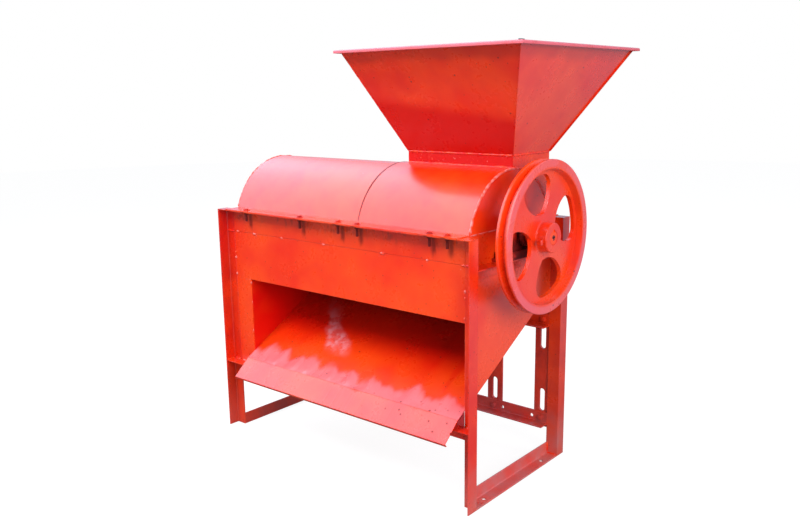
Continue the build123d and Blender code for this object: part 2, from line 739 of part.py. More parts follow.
# Threshing drum: a tube closed by end discs, twisted rows of square pegs, and paddles in the cob passage
peg_start = chute_left + peg_end_margin
peg_end = drum_right - peg_end_margin
peg_pitch = (peg_end - peg_start) / (pegs_per_row - 1 / peg_rows)
on_tube = Location((0, 0, drum_radius + fit_gap))
peg_places = []
for row in range(peg_rows):
    for number in range(pegs_per_row):
        peg_x = peg_start + (number + row / peg_rows) * peg_pitch
        turn = 360.0 * row / peg_rows + peg_row_twist * (peg_x - peg_start) / (peg_end - peg_start)
        peg_places.append(Location((peg_x, 0, shaft_height), (turn, 0, 0)) * on_tube)
paddle_width = divider_x - drum_left - paddle_side_gap
paddle_places = []
for number in range(paddle_count):
    turn = 360.0 * (number + 0.5) / paddle_count
    paddle_axis = Location((drum_left + paddle_width / 2, 0, shaft_height), (turn, 0, 0))
    paddle_places.append(paddle_axis * on_tube)

with BuildPart() as drum_tube:
    with BuildSketch(shaft_plane.offset(drum_left)):
        Circle(drum_radius)
        Circle(drum_radius - drum_wall, mode=Mode.SUBTRACT)
    extrude(amount=drum_right - drum_left)
drum_tube.part.label = "drum_tube"
export_step(drum_tube.part, "parts/drum_tube.step")

with BuildPart() as drum_discs:
    for disc_start in (drum_left, drum_right - drum_disc):
        with BuildSketch(shaft_plane.offset(disc_start)):
            Circle(drum_radius - drum_wall - fit_gap)
            Circle(shaft_radius + fit_gap, mode=Mode.SUBTRACT)
        extrude(amount=drum_disc)
drum_discs.part.label = "drum_discs"
export_step(drum_discs.part, "parts/drum_discs.step")

standing = (Align.CENTER, Align.CENTER, Align.MIN)
with BuildPart() as drum_pegs:
    with Locations(peg_places):
        Box(peg_size, peg_size, peg_tip_radius - drum_radius - fit_gap, align=standing)
drum_pegs.part.label = "drum_pegs"
export_step(drum_pegs.part, "parts/drum_pegs.step")

with BuildPart() as drum_paddles:
    with Locations(paddle_places):
        Box(paddle_width, paddle_thickness, paddle_tip_radius - drum_radius - fit_gap, align=standing)
drum_paddles.part.label = "drum_paddles"
export_step(drum_paddles.part, "parts/drum_paddles.step")

# Pulley: a ring with one V groove, a recessed web with four windows, and a hub
groove_middle = pulley_inner_face + pulley_width / 2
groove_radius = pulley_radius - groove_depth
groove_bottom_width = groove_top_width - 2 * groove_depth * tan(radians(groove_angle / 2))
with BuildPart() as pulley:
    with BuildSketch(Plane.XZ) as pulley_section:
        with BuildLine():
            Polyline(
                (hub_start, shaft_height + shaft_radius + fit_gap),
                (hub_start, shaft_height + hub_radius),
                (web_inner_face, shaft_height + hub_radius),
                (web_inner_face, shaft_height + rim_inner),
                (pulley_inner_face, shaft_height + rim_inner + pulley_rim_draft),
                (pulley_inner_face, shaft_height + pulley_radius),
                (groove_middle - groove_top_width / 2, shaft_height + pulley_radius),
                (groove_middle - groove_bottom_width / 2, shaft_height + groove_radius),
                (groove_middle + groove_bottom_width / 2, shaft_height + groove_radius),
                (groove_middle + groove_top_width / 2, shaft_height + pulley_radius),
                (pulley_outer_face, shaft_height + pulley_radius),
                (pulley_outer_face, shaft_height + rim_inner + pulley_rim_draft),
                (web_outer_face, shaft_height + rim_inner),
                (web_outer_face, shaft_height + hub_radius),
                (hub_end, shaft_height + hub_radius),
                (hub_end, shaft_height + shaft_radius + fit_gap),
                close=True,
            )
        make_face()
    revolve(axis=Axis((0, 0, shaft_height), (1, 0, 0)))
    rings = pulley.edges().filter_by(GeomType.CIRCLE)
    rim_rings = rings.filter_by(lambda edge: edge.radius > rim_inner + pulley_rim_draft / 2)
    groove_base_rings = rings.filter_by(lambda edge: abs(edge.radius - groove_radius) < fit_gap)
    fillet(rim_rings - groove_base_rings, radius=pulley_rim_rounding)
    hub_rings = pulley.edges().filter_by(GeomType.CIRCLE).filter_by(
        lambda edge: abs(edge.radius - hub_radius) < fit_gap
    )
    hub_rings = hub_rings.sort_by(Axis.X)
    chamfer(hub_rings[-1], length=hub_chamfer)
    fillet(hub_rings[-2], radius=hub_root_fillet)
    # Petal windows, narrow near the hub and wide under the rim, their tips leaning one way
    with BuildSketch(shaft_plane.offset(web_inner_face)) as windows:
        for number in range(window_count):
            middle = window_first_angle + 360.0 / window_count * number
            tip = middle - window_tip_lean
            near_start = Vector(window_inner_radius, 0).rotate(Axis.Z, tip - window_tip_half_angle)
            near_middle = Vector(window_inner_radius, 0).rotate(Axis.Z, tip)
            near_end = Vector(window_inner_radius, 0).rotate(Axis.Z, tip + window_tip_half_angle)
            far_start = Vector(window_outer_radius, 0).rotate(Axis.Z, middle - window_top_half_angle)
            far_middle = Vector(window_outer_radius, 0).rotate(Axis.Z, middle)
            far_end = Vector(window_outer_radius, 0).rotate(Axis.Z, middle + window_top_half_angle)
            bulge_left = Vector(window_bulge_radius, 0).rotate(Axis.Z, middle + window_half_angle)
            bulge_right = Vector(window_bulge_radius, 0).rotate(Axis.Z, middle - window_half_angle)
            with BuildLine():
                ThreePointArc(near_start, near_middle, near_end)
                ThreePointArc(near_end, bulge_left, far_end)
                ThreePointArc(far_end, far_middle, far_start)
                ThreePointArc(far_start, bulge_right, near_start)
            make_face()
        corners_outward = windows.vertices().sort_by_distance((0, 0))
        fillet(corners_outward[-2 * window_count:], radius=window_corner)
        corners_outward = windows.vertices().sort_by_distance((0, 0))
        fillet(corners_outward[:2 * window_count], radius=window_tip_corner)
    extrude(amount=pulley_web, mode=Mode.SUBTRACT)
    # Keyway and the threaded hole for the set screw
    with BuildSketch(shaft_plane.offset(hub_start)):
        with Locations((0, shaft_radius - key_depth_in_shaft)):
            Rectangle(key_width, key_height + fit_gap, align=(Align.CENTER, Align.MIN))
    extrude(amount=hub_length, mode=Mode.SUBTRACT)
    set_screw_x = hub_end - set_screw_inset
    set_screw_way = (0, cos(radians(set_screw_angle)), sin(radians(set_screw_angle)))
    set_screw_plane = Plane(origin=(set_screw_x, 0, shaft_height), x_dir=(1, 0, 0), z_dir=set_screw_way)
    with BuildSketch(set_screw_plane):
        Circle(set_screw_diameter / 2)
    extrude(amount=hub_radius + set_screw_head_standoff, mode=Mode.SUBTRACT)
pulley.part.label = "pulley"
export_step(pulley.part, "parts/pulley.step")

set_screw_head_radius = hub_radius + set_screw_head_standoff
with BuildPart() as set_screw:
    with BuildSketch(set_screw_plane.offset(shaft_radius)):
        Circle(set_screw_diameter / 2 - fit_gap)
    extrude(amount=set_screw_head_radius - shaft_radius)
    with BuildSketch(set_screw_plane.offset(set_screw_head_radius)):
        RectangleRounded(set_screw_head, set_screw_head, set_screw_head_corner)
    extrude(amount=set_screw_head_height)
    head_top = set_screw.faces().sort_by(Axis((0, 0, shaft_height), set_screw_way))[-1]
    chamfer(head_top.edges(), length=set_screw_head_chamfer)
set_screw.part.label = "set_screw"
export_step(set_screw.part, "parts/set_screw.step")

# Pillow blocks on both bearing rails
base_z = bearing_rail_top + packing_height
for side, side_name in ((1, "right"), (-1, "left")):
    centre_x = side * bearing_centre_x
    with BuildPart() as packing_bar:
        with BuildSketch(Plane.XY.offset(bearing_rail_top)):
            with Locations((side * (toe_x + angle_width / 2), 0)):
                Rectangle(angle_width, packing_length)
            with Locations((centre_x, 0)):
                with GridLocations(0, bearing_bolt_spacing, 1, 2):
                    Circle((bearing_bolt_diameter + hole_clearance) / 2, mode=Mode.SUBTRACT)
        extrude(amount=packing_height)
    packing_bar.part.label = f"{side_name}_bearing_packing"
    export_step(packing_bar.part, f"parts/{side_name}_bearing_packing.step")

    block_plane = Plane(origin=(centre_x, 0, shaft_height), x_dir=(0, 1, 0), z_dir=(1, 0, 0))
    with BuildPart() as bearing_block:
        with BuildSketch(Plane.XY.offset(base_z)):
            with Locations((centre_x, 0)):
                RectangleRounded(bearing_base_width, bearing_base_length, bearing_base_corner)
        extrude(amount=bearing_base_thickness)
        with BuildSketch(block_plane) as block_front:
            Circle(bearing_body_radius)
            with BuildLine():
                Polyline(
                    (-bearing_foot_base, bearing_base_thickness - bearing_height),
                    (bearing_foot_base, bearing_base_thickness - bearing_height),
                    (bearing_foot_top, bearing_foot_rise - bearing_height),
                    (-bearing_foot_top, bearing_foot_rise - bearing_height),
                    close=True,
                )
            make_face()
            with Locations((0, -bearing_height)):
                Rectangle(4 * bearing_body_radius, 2 * bearing_base_thickness, mode=Mode.SUBTRACT)
        extrude(amount=bearing_body_width / 2, both=True)
        with BuildSketch(Plane.XY.offset(base_z)):
            with Locations((centre_x, 0)):
                with GridLocations(0, bearing_bolt_spacing, 1, 2):
                    SlotOverall(bearing_slot_length, bearing_bolt_diameter + hole_clearance, rotation=90)
        extrude(amount=bearing_base_thickness, mode=Mode.SUBTRACT)
        with BuildSketch(block_plane):
            Circle(bearing_outer_radius)
        extrude(amount=bearing_base_width, both=True, mode=Mode.SUBTRACT)
    bearing_block.part.label = f"{side_name}_bearing_block"
    export_step(bearing_block.part, f"parts/{side_name}_bearing_block.step")

    with BuildPart() as outer_ring:
        with BuildSketch(block_plane):
            Circle(bearing_outer_radius - fit_gap)
            Circle(bearing_inner_radius + fit_gap, mode=Mode.SUBTRACT)
        extrude(amount=bearing_ring_width / 2, both=True)
        ring_edges = outer_ring.edges().filter_by(GeomType.CIRCLE).group_by(SortBy.RADIUS)[-1]
        chamfer(ring_edges, length=bearing_ring_chamfer)
    outer_ring.part.label = f"{side_name}_bearing_outer_ring"
    export_step(outer_ring.part, f"parts/{side_name}_bearing_outer_ring.step")

    inner_start = -bearing_ring_width / 2 - bearing_inner_overhang
    collar_start = inner_start + bearing_inner_length - bearing_collar_length
    with BuildPart() as inner_ring:
        with BuildSketch(block_plane.offset(side * inner_start)):
            Circle(bearing_inner_radius)
            Circle(shaft_radius + fit_gap, mode=Mode.SUBTRACT)
        extrude(amount=side * bearing_inner_length)
        with BuildSketch(block_plane.offset(side * collar_start)):
            Circle(bearing_collar_radius)
            Circle(shaft_radius + fit_gap, mode=Mode.SUBTRACT)
        extrude(amount=side * bearing_collar_length)
        collar_edges = inner_ring.edges().filter_by(GeomType.CIRCLE).group_by(SortBy.RADIUS)[-1]
        chamfer(collar_edges, length=bearing_ring_chamfer)
    inner_ring.part.label = f"{side_name}_bearing_inner_ring"
    export_step(inner_ring.part, f"parts/{side_name}_bearing_inner_ring.step")


# Hexagon bolts and nuts
def hexagon_bolts(planes, diameter, length):
    """Bolts with their heads standing on the given planes and their shanks going down through them."""
    with BuildPart() as bolts:
        for seat in planes:
            with BuildSketch(seat):
                RegularPolygon(0.8 * diameter, 6, major_radius=False)
            extrude(amount=0.65 * diameter)
            with BuildSketch(seat):
                Circle(diameter / 2)
            extrude(amount=-length)
    return bolts


def hexagon_nuts(planes, diameter):
    """Nuts that bear against the underside of the given planes."""
    with BuildPart() as nuts:
        for seat in planes:
            with BuildSketch(seat):
                RegularPolygon(0.8 * diameter, 6, major_radius=False)
                Circle(diameter / 2 + fit_gap, mode=Mode.SUBTRACT)
            extrude(amount=-0.8 * diameter)
    return nuts


cover_places = flange_bolt_places(left_cover_bolts + right_cover_bolts)
bearing_places = []
for x in (bearing_centre_x, -bearing_centre_x):
    bearing_places += [(x, -bearing_bolt_spacing / 2), (x, bearing_bolt_spacing / 2)]
post_places = [(x, z) for x in post_bolt_xs for z in post_bolt_heights]
post_grip = angle_thickness + post_thickness

cover_bolts = hexagon_bolts(
    [Plane(origin=(x, y, frame_height + sheet)) for x, y in cover_places],
    cover_bolt_diameter, cover_bolt_length,
)
cover_bolts.part.label = "cover_bolts"
export_step(cover_bolts.part, "parts/cover_bolts.step")

cover_nuts = hexagon_nuts(
    [Plane(origin=(x, y, frame_height - angle_thickness)) for x, y in cover_places], cover_bolt_diameter
)
cover_nuts.part.label = "cover_nuts"
export_step(cover_nuts.part, "parts/cover_nuts.step")

bearing_bolts = hexagon_bolts(
    [Plane(origin=(x, y, base_z + bearing_base_thickness)) for x, y in bearing_places],
    bearing_bolt_diameter, bearing_bolt_length,
)
bearing_bolts.part.label = "bearing_bolts"
export_step(bearing_bolts.part, "parts/bearing_bolts.step")

bearing_nuts = hexagon_nuts(
    [Plane(origin=(x, y, bearing_rail_top - angle_thickness)) for x, y in bearing_places],
    bearing_bolt_diameter,
)
bearing_nuts.part.label = "bearing_nuts"
export_step(bearing_nuts.part, "parts/bearing_nuts.step")

post_bolts = hexagon_bolts(
    [Plane(origin=(x, heel_y, z), x_dir=(1, 0, 0), z_dir=(0, -1, 0)) for x, z in post_places],
    post_bolt_diameter, post_bolt_length,
)
post_bolts.part.label = "post_bolts"
export_step(post_bolts.part, "parts/post_bolts.step")

post_nuts = hexagon_nuts(
    [Plane(origin=(x, heel_y + post_grip, z), x_dir=(1, 0, 0), z_dir=(0, -1, 0)) for x, z in post_places],
    post_bolt_diameter,
)
post_nuts.part.label = "post_nuts"
export_step(post_nuts.part, "parts/post_nuts.step")
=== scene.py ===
"""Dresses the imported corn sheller: paint, weld beads, bolts, bearings and a white studio.

The file is laid out as an add-on with one operator for each group of pieces. It is run as a script.
"""

import math
import random

import bmesh
import bpy
from bpy.props import FloatProperty, FloatVectorProperty, IntProperty, PointerProperty
from mathutils import Matrix, Vector, noise


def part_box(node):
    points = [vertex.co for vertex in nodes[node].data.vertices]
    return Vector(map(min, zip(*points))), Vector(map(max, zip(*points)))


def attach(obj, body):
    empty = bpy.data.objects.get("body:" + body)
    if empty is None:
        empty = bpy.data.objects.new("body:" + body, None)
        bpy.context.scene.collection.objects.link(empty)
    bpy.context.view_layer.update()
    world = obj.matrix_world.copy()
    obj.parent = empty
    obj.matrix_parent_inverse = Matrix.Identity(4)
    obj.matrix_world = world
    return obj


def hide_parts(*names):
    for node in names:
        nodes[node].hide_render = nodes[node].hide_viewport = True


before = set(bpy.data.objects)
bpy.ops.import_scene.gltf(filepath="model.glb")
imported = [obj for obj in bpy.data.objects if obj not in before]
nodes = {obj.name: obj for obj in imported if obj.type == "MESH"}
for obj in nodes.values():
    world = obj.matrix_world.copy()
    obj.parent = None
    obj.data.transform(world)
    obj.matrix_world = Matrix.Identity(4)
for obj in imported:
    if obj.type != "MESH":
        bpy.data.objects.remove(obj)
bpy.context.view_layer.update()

bl_info = {
    "name": "Corn sheller looks",
    "version": (1, 0, 0),
    "blender": (4, 5, 0),
    "location": "3D View > Sidebar > Sheller",
    "description": "Paints and details a corn sheller on its angle-iron frame",
    "category": "Object",
}

# Places read from the frame, in metres
panel_low, panel_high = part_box("front_panel")
top_rail_low, top_rail_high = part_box("front_top_rail")
low_rail_low, low_rail_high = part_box("front_lower_rail")
bearing_rail_low, bearing_rail_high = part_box("right_bearing_rail")
right_cover_low, right_cover_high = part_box("right_cover")
left_cover_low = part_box("left_cover")[0]
throat_low, throat_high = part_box("hopper_throat")
rim_low, rim_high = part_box("hopper_front_wall")
rim_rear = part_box("hopper_rear_wall")[1].y
chute_low, chute_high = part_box("grain_chute")
strip_low, strip_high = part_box("passage_strip")
tube_low, tube_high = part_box("drum_tube")
pulley_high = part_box("pulley")[1]
base_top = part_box("right_base_rail")[1].z
outer_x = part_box("front_right_leg")[1].x
inner_x = panel_high.x
heel_y = -panel_high.y
frame_top = top_rail_high.z
shaft_height = (tube_low.z + tube_high.z) / 2
tube_radius = (tube_high.z - tube_low.z) / 2
pulley_radius = pulley_high.z - shaft_height

# Sizes of the sheets and castings, in metres
angle_thickness = 0.004
cover_radius = 0.215
cover_axis_height = 0.726
rim_flange = 0.013
rim_lip = 0.009
hub_past_rim = 0.012
pulley_face = pulley_high.x - hub_past_rim
fold_past_angle = 0.029
fold_y = -heel_y - angle_thickness - fold_past_angle

# Places of tack welds, listed one by one as a welder sets them
seam_tacks = (-0.466, -0.380, -0.245, -0.055, 0.187, 0.353, 0.476)
panel_end_tacks = (0.553, 0.610, 0.629)
strip_tacks = (0.262, 0.36, 0.46, 0.528)
leg_tacks = [0.30 + 0.095 * number for number in range(5)]
sill_seam_y = -0.2295
sill_seam_z = 0.2805

# Weight of the clear, shiny skin on sound enamel
sound_coat = 0.55


def seats_of(node):
    """Where along the shaft the separate solids of a node stand, found in steps of 10 mm."""
    places = {round(vertex.co.x, 2) for vertex in nodes[node].data.vertices}
    starts = sorted(place for place in places if round(place - 0.01, 2) not in places)
    ends = sorted(place for place in places if round(place + 0.01, 2) not in places)
    return [(first + last) / 2 for first, last in zip(starts, ends)]


cover_bolts = seats_of("cover_bolts")


def colour_setting(name, description, default):
    """A colour that a user can change."""
    return FloatVectorProperty(name=name, description=description, subtype="COLOR", size=3, default=default)


def setting(name, description, default, subtype="DISTANCE"):
    """A number that a user can change. It is a length unless its subtype says otherwise."""
    return FloatProperty(name=name, description=description, subtype=subtype, default=default)


class PaintSettings(bpy.types.PropertyGroup):
    """Colours and finish of the enamel and the bare metal."""

    enamel: colour_setting("Enamel", "Main paint colour", (0.84, 0.054, 0.003))
    # Deep enamel, also used for painted shade: in the chute, on the lower hopper front, the divider and parts
    # in shade
    deep_enamel_and_shade: colour_setting("Deep enamel", "Paint where it lies thick", (0.72, 0.003, 0.001))
    # Painted sheen: the pale pink on the hopper's and the pulley's rims
    rim_sheen: colour_setting("Chalk", "Paint gone pale on the rims", (0.72, 0.12, 0.15))
    # Painted sheen along the chute's fold
    fold_sheen: colour_setting("Faded", "Paint gone pale at the chute's fold", (0.95, 0.20, 0.23))
    # A pale streak down the chute's slope
    pale_streak: colour_setting("Scuffed", "Paint that falling grain has rubbed", (0.80, 0.30, 0.34))
    weld_skin: colour_setting("Weld skin", "Thin pale paint on weld metal", (0.90, 0.42, 0.38))
    dust: colour_setting("Dust", "Earth splashed on the feet", (0.44, 0.28, 0.27))
    # Grime, also used for painted shade: under the hopper's rim and the cover's flange, deep in the chute and
    # on parts in shade
    grime_and_shade: colour_setting("Grime", "Specks and dirt in corners", (0.09, 0.012, 0.010))
    # Soot, also used for painted shade: at the cover seam, on and behind the hanging bolts, on the bearings
    # and on the lower hopper front
    soot_and_shade: colour_setting("Soot", "Grease and dirt that have no shine", (0.050, 0.004, 0.006))
    steel: colour_setting("Steel", "Bare steel", (0.48, 0.47, 0.45))
    hot_rolled: colour_setting("Hot-rolled steel", "Steel with mill scale", (0.10, 0.085, 0.075))
    rust: colour_setting("Rust", "Thin rust on bare steel", (0.20, 0.075, 0.035))
    plating: colour_setting("Plating", "Plated steel", (0.55, 0.50, 0.38))
    tarnish: colour_setting("Tarnish", "Plated steel gone dull", (0.32, 0.27, 0.18))
    peel_depth: setting("Orange peel", "Depth of the fine ripple in the paint", 0.00012)
    wave_depth: setting("Sheet wave", "Depth of the slow buckles in the sheet", 0.0016)
    dust_height: setting("Dust height", "How far the dust climbs the legs", 0.20)
    edge_radius: setting("Edge radius", "Rounding that the paint gives to cut edges", 0.0012)


class WeldSettings(bpy.types.PropertyGroup):
    """Sizes of the weld beads."""

    bead_radius: setting("Bead radius", "Radius of a normal weld bead", 0.0038)
    ripple: setting("Ripple", "Distance from one weld ripple to the next", 0.0052)
    tack_length: setting("Tack length", "Length of a tack weld", 0.014)
    spatter: setting("Spatter", "Radius of the largest drop of spatter", 0.0019)
    sides: IntProperty(name="Bead sides", description="Corners of a bead's section", default=10, min=6)


class StudioSettings(bpy.types.PropertyGroup):
    """Lights, floor and camera."""

    floor_radius: setting("Floor radius", "Radius of the white floor", 12.0)
    sky: setting("Sky", "Strength of the even light from all round", 0.58, "NONE")
    sky_tint: colour_setting("Sky tint", "Colour that paint mirrors from the sky", (0.46, 0.76, 1.0))
    ground_gloss: setting("Ground gloss", "Brightness of the ground in mirror images", 0.09, "NONE")
    low_gloss: setting("Low sky gloss", "Brightness of the low sky in mirror images", 0.85, "NONE")
    high_gloss: setting("High sky gloss", "Brightness of the sky that the drum cover mirrors", 3.9, "NONE")
    floor_grey: setting("Floor grey", "Share of light that the floor throws back", 0.38, "NONE")
    overhead_power: setting("Overhead", "Power of the large lamp above the left end", 80.0, "POWER")
    front_power: setting("Front", "Power of the lamp in front, high up", 150.0, "POWER")
    side_power: setting("Side", "Power of the soft lamp beside the pulley", 135.0, "POWER")
    camera_place: FloatVectorProperty(
        name="Camera", description="Where the camera stands", subtype="TRANSLATION", size=3,
        default=(1.7320, -1.9740, 1.1554),
    )
    yaw: setting("Yaw", "Camera turn", math.radians(40.248), "ANGLE")
    pitch: setting("Pitch", "Camera tilt", math.radians(11.753), "ANGLE")
    roll: setting("Roll", "Camera roll", math.radians(-0.734), "ANGLE")
    lens: setting("Lens", "Focal length in millimetres on a 36 mm sensor", 36.885, "NONE")


def paint():
    """The paint settings."""
    return bpy.context.scene.sheller_paint


def weld():
    """The weld settings."""
    return bpy.context.scene.sheller_weld


def studio():
    """The studio settings."""
    return bpy.context.scene.sheller_studio


class Value:
    """An output of a shader node. Sums written with it add Math nodes."""

    def __init__(self, shader, node, output=0):
        self.shader = shader
        self.node = node
        self.socket = node.outputs[output] if node.outputs else None

    def out(self, output):
        """Another output of the same node."""
        return Value(self.shader, self.node, output)

    def maths(self, operation, *numbers):
        return self.shader.node("ShaderNodeMath", {"operation": operation}, dict(enumerate(numbers)))

    def __add__(self, other):
        return self.maths("ADD", self, other)

    __radd__ = __add__

    def __sub__(self, other):
        return self.maths("SUBTRACT", self, other)

    def __rsub__(self, other):
        return self.maths("SUBTRACT", other, self)

    def __mul__(self, other):
        return self.maths("MULTIPLY", self, other)

    __rmul__ = __mul__

    def __abs__(self):
        return self.maths("ABSOLUTE", self)

    def __gt__(self, other):
        return self.maths("GREATER_THAN", self, other)

    def __lt__(self, other):
        return self.maths("LESS_THAN", self, other)

    def most(self, other):
        """The larger of two values."""
        return self.maths("MAXIMUM", self, other)

    def between(self, low, high, new_low=0.0, new_high=1.0):
        """The value spread smoothly from one range to another and held inside it."""
        inputs = {"Value": self, "From Min": low, "From Max": high, "To Min": new_low, "To Max": new_high}
        return self.shader.node("ShaderNodeMapRange", {"interpolation_type": "SMOOTHSTEP"}, inputs)


class Shader:
    """The nodes of one material or of the world."""

    def __init__(self, tree):
        self.tree = tree
        tree.nodes.clear()

    def node(self, kind, settings=None, inputs=None, output=0):
        """A new node with its settings made first, then the values or links of its sockets."""
        made = self.tree.nodes.new(kind)
        for name, setting in (settings or {}).items():
            setattr(made, name, setting)
        for name, source in (inputs or {}).items():
            if isinstance(source, Value):
                self.tree.links.new(source.socket, made.inputs[name])
            else:
                made.inputs[name].default_value = source
        return Value(self, made, output)

    def mix(self, first, second, factor):
        """A colour between two colours."""
        sockets = {0: factor}
        for place, colour in ((6, first), (7, second)):
            sockets[place] = colour if isinstance(colour, Value) else (*colour, 1.0)
        return self.node("ShaderNodeMix", {"data_type": "RGBA", "clamp_factor": True}, sockets, 2)

    def place(self):
        """Coordinates on the object, in metres."""
        return self.node("ShaderNodeTexCoord", {}, {}, "Object")

    def split(self, vector, axis):
        """One number of a vector. The other two are the node's other outputs."""
        return self.node("ShaderNodeSeparateXYZ", {}, {"Vector": vector}, axis)

    def from_shaft(self, place):
        """Distance from the shaft's axis."""
        ends = {0: self.stretch(place, (0.0, 1.0, 1.0)), 1: (0.0, 0.0, shaft_height)}
        return self.node("ShaderNodeVectorMath", {"operation": "DISTANCE"}, ends, "Value")

    def blend(self, factor, first, second):
        """A mix of two shaders."""
        return self.node("ShaderNodeMixShader", {}, {0: factor, 1: first, 2: second})

    def stretch(self, place, scale):
        """Coordinates multiplied by a scale for each axis."""
        return self.node("ShaderNodeVectorMath", {"operation": "MULTIPLY"}, {0: place, 1: scale})

    def noise(self, place, scale, detail=3.0, roughness=0.5):
        """Cloudy noise from 0 to 1."""
        inputs = {"Vector": place, "Scale": scale, "Detail": detail, "Roughness": roughness}
        return self.node("ShaderNodeTexNoise", {}, inputs)

    def streaks(self, place, scale, detail=3.0, roughness=0.5):
        """Noise with its own scale along each axis."""
        return self.noise(self.stretch(place, scale), 1.0, detail, roughness)

    def specks(self, place, scale, share, size):
        """Round dots: about that share of the cells holds one, and size is its radius in cells."""
        inputs = {"Vector": place, "Scale": scale}
        cells = self.node("ShaderNodeTexVoronoi", {"feature": "F1"}, inputs, "Distance")
        draw = self.node("ShaderNodeSeparateColor", {}, {"Color": cells.out("Color")}, "Red")
        return (draw < share) * cells.between(size, size * 0.5)

    def bump(self, height, distance, normal=None):
        """A normal bent by a height."""
        inputs = {"Height": height, "Distance": distance, "Strength": 1.0}
        if normal:
            inputs["Normal"] = normal
        return self.node("ShaderNodeBump", {}, inputs)

    def worn_edges(self, radius):
        """Rounded normals and a mask that is 1 on sharp edges."""
        rounded = self.node("ShaderNodeBevel", {"samples": 4}, {"Radius": radius})
        facing = self.node("ShaderNodeNewGeometry", {}, {}, "True Normal")
        pair = {0: rounded, 1: facing}
        match = self.node("ShaderNodeVectorMath", {"operation": "DOT_PRODUCT"}, pair, "Value")
        return rounded, (1.0 - match).between(0.05, 0.30)

    def surface(self, inputs):
        """The material's shader and its output."""
        shade = self.node("ShaderNodeBsdfPrincipled", {}, inputs)
        self.node("ShaderNodeOutputMaterial", {}, {"Surface": shade})


def new_shader(name):
    """An empty material and its shader."""
    material = bpy.data.materials.new(name)
    material.use_nodes = True
    return material, Shader(material.node_tree)


def enamel(name, peel=1.0, wave=1.0, cast=0.0, chips=0.25, gloss=0.17, deep=0.0, dull_and_shade=0.0, marks=None):
    """Glossy orange-red enamel with brush and spray marks, specks, dusty feet and a few worn edges.

    The deep and dull shares move the colour to the deep enamel and to grime; on parts that stand in shade
    they are painted shade. Marks is a function for what only one part
    shows: it gives the colour, a mask of soot and painted shade, some extra relief in metres and the weight
    of the clear coat.
    """
    look = paint()
    material, shader = new_shader(name)
    place = shader.place()
    along = shader.split(place, "X")
    rise = along.out("Z")
    broad = shader.noise(place, 3.1, 4.0)
    cloud = shader.noise(place, 14.0, 3.0)
    fine = shader.noise(place, 320.0, 2.0)
    medium = shader.noise(place, 70.0, 3.0)

    thick = broad.between(0.38, 0.62) * 0.50 + cloud.between(0.42, 0.70) * 0.22 + deep
    colour = shader.mix(look.enamel, look.deep_enamel_and_shade, thick)
    rounded, edges = shader.worn_edges(look.edge_radius)
    # Grime in clouds; on parts that stand in shade this is painted shade
    if dull_and_shade:
        colour = shader.mix(colour, look.grime_and_shade, cloud.between(0.3, 0.7, dull_and_shade * 0.6, dull_and_shade * 1.4))
    soot_and_shade, extra, coat = 0.0, 0.0, sound_coat
    if marks:
        colour, soot_and_shade, extra, coat = marks(shader, colour, place, along, cloud)
    dots = shader.specks(place, 75.0, 0.12, 0.17) * 0.75
    dots = dots.most(shader.specks(place, 38.0, 0.05, 0.12))
    colour = shader.mix(colour, look.grime_and_shade, dots)
    height = shader.noise(place, 26.0, 4.0) * 0.10 + rise
    dusty = height.between(look.dust_height + 0.05, 0.03) * cloud.between(0.25, 0.75, 0.25, 0.85)
    dusty = dusty * along.between(-0.50, 0.30, 0.25, 1.0)
    colour = shader.mix(colour, look.dust, dusty * 0.60)
    worn = edges * (medium.between(0.55, 0.68)) * chips
    colour = shader.mix(colour, look.hot_rolled, worn)

    roughness = cloud * 0.12 + gloss + dusty * 0.30 + worn * 0.25 + medium * 0.05
    relief = fine * look.peel_depth * peel + medium * look.peel_depth * 1.4 * peel
    relief = relief + broad * look.wave_depth * wave + shader.specks(place, 130.0, 0.30, 0.22) * 0.00025
    if cast:
        relief = relief + shader.noise(place, 230.0, 5.0, 0.65) * 0.0005 * cast
    painted = shader.node("ShaderNodeBsdfPrincipled", {}, {
        "Base Color": colour,
        "Roughness": roughness,
        "IOR": 1.52,
        "Coat Weight": coat,
        "Coat Roughness": 0.26,
        "Coat IOR": 1.55,
        "Normal": shader.bump(relief + extra, 1.0, rounded),
    })
    shade = painted
    # Dark matt paint, for soot and for painted shade
    if isinstance(soot_and_shade, Value):
        dark_matt = shader.node("ShaderNodeBsdfPrincipled", {}, {
            "Base Color": shader.mix(look.soot_and_shade, look.grime_and_shade, medium),
            "Roughness": fine * 0.2 + 0.7,
            "Specular IOR Level": 0.15,
            "Normal": shader.bump(medium, 0.0008, rounded),
        })
        shade = shader.blend(soot_and_shade, painted, dark_matt)
    shader.node("ShaderNodeOutputMaterial", {}, {"Surface": shade})
    return material


def hopper_marks(shader, colour, place, along, cloud):
    """Painted shade on the lower front of the hopper, in deeper, darker, less glossy paint; painted shade
    under its rim, and a painted sheen on the rim.
    """
    look = paint()
    rise = along.out("Z")
    # Painted shade: the lower faces that look to the front are deeper red, darker and less glossy
    facing = shader.node("ShaderNodeNewGeometry", {}, {}, "True Normal")
    front = shader.split(facing, "Y").between(-0.30, -0.55)
    ragged = rise + cloud * 0.03 + along * 0.12 - 0.035
    low = front * ragged.between(throat_high.z + 0.165, throat_high.z + 0.125)
    colour = shader.mix(colour, look.deep_enamel_and_shade, low * 0.97)
    # Painted shade just under the rim
    under_rim_shade = (rise + cloud * 0.03).between(rim_high.z - 0.035, rim_high.z - 0.008) * 0.25
    colour = shader.mix(colour, look.grime_and_shade, under_rim_shade)
    # Painted sheen on the top of the hopper's rim
    lip = rim_high.z - rim_lip
    rim = rise.between(lip - 0.0008, lip + 0.0016)
    colour = shader.mix(colour, look.rim_sheen, rim * cloud.between(0.2, 0.6, 0.55, 0.9))
    return colour, low * 0.20, 0.0, sound_coat - low * sound_coat


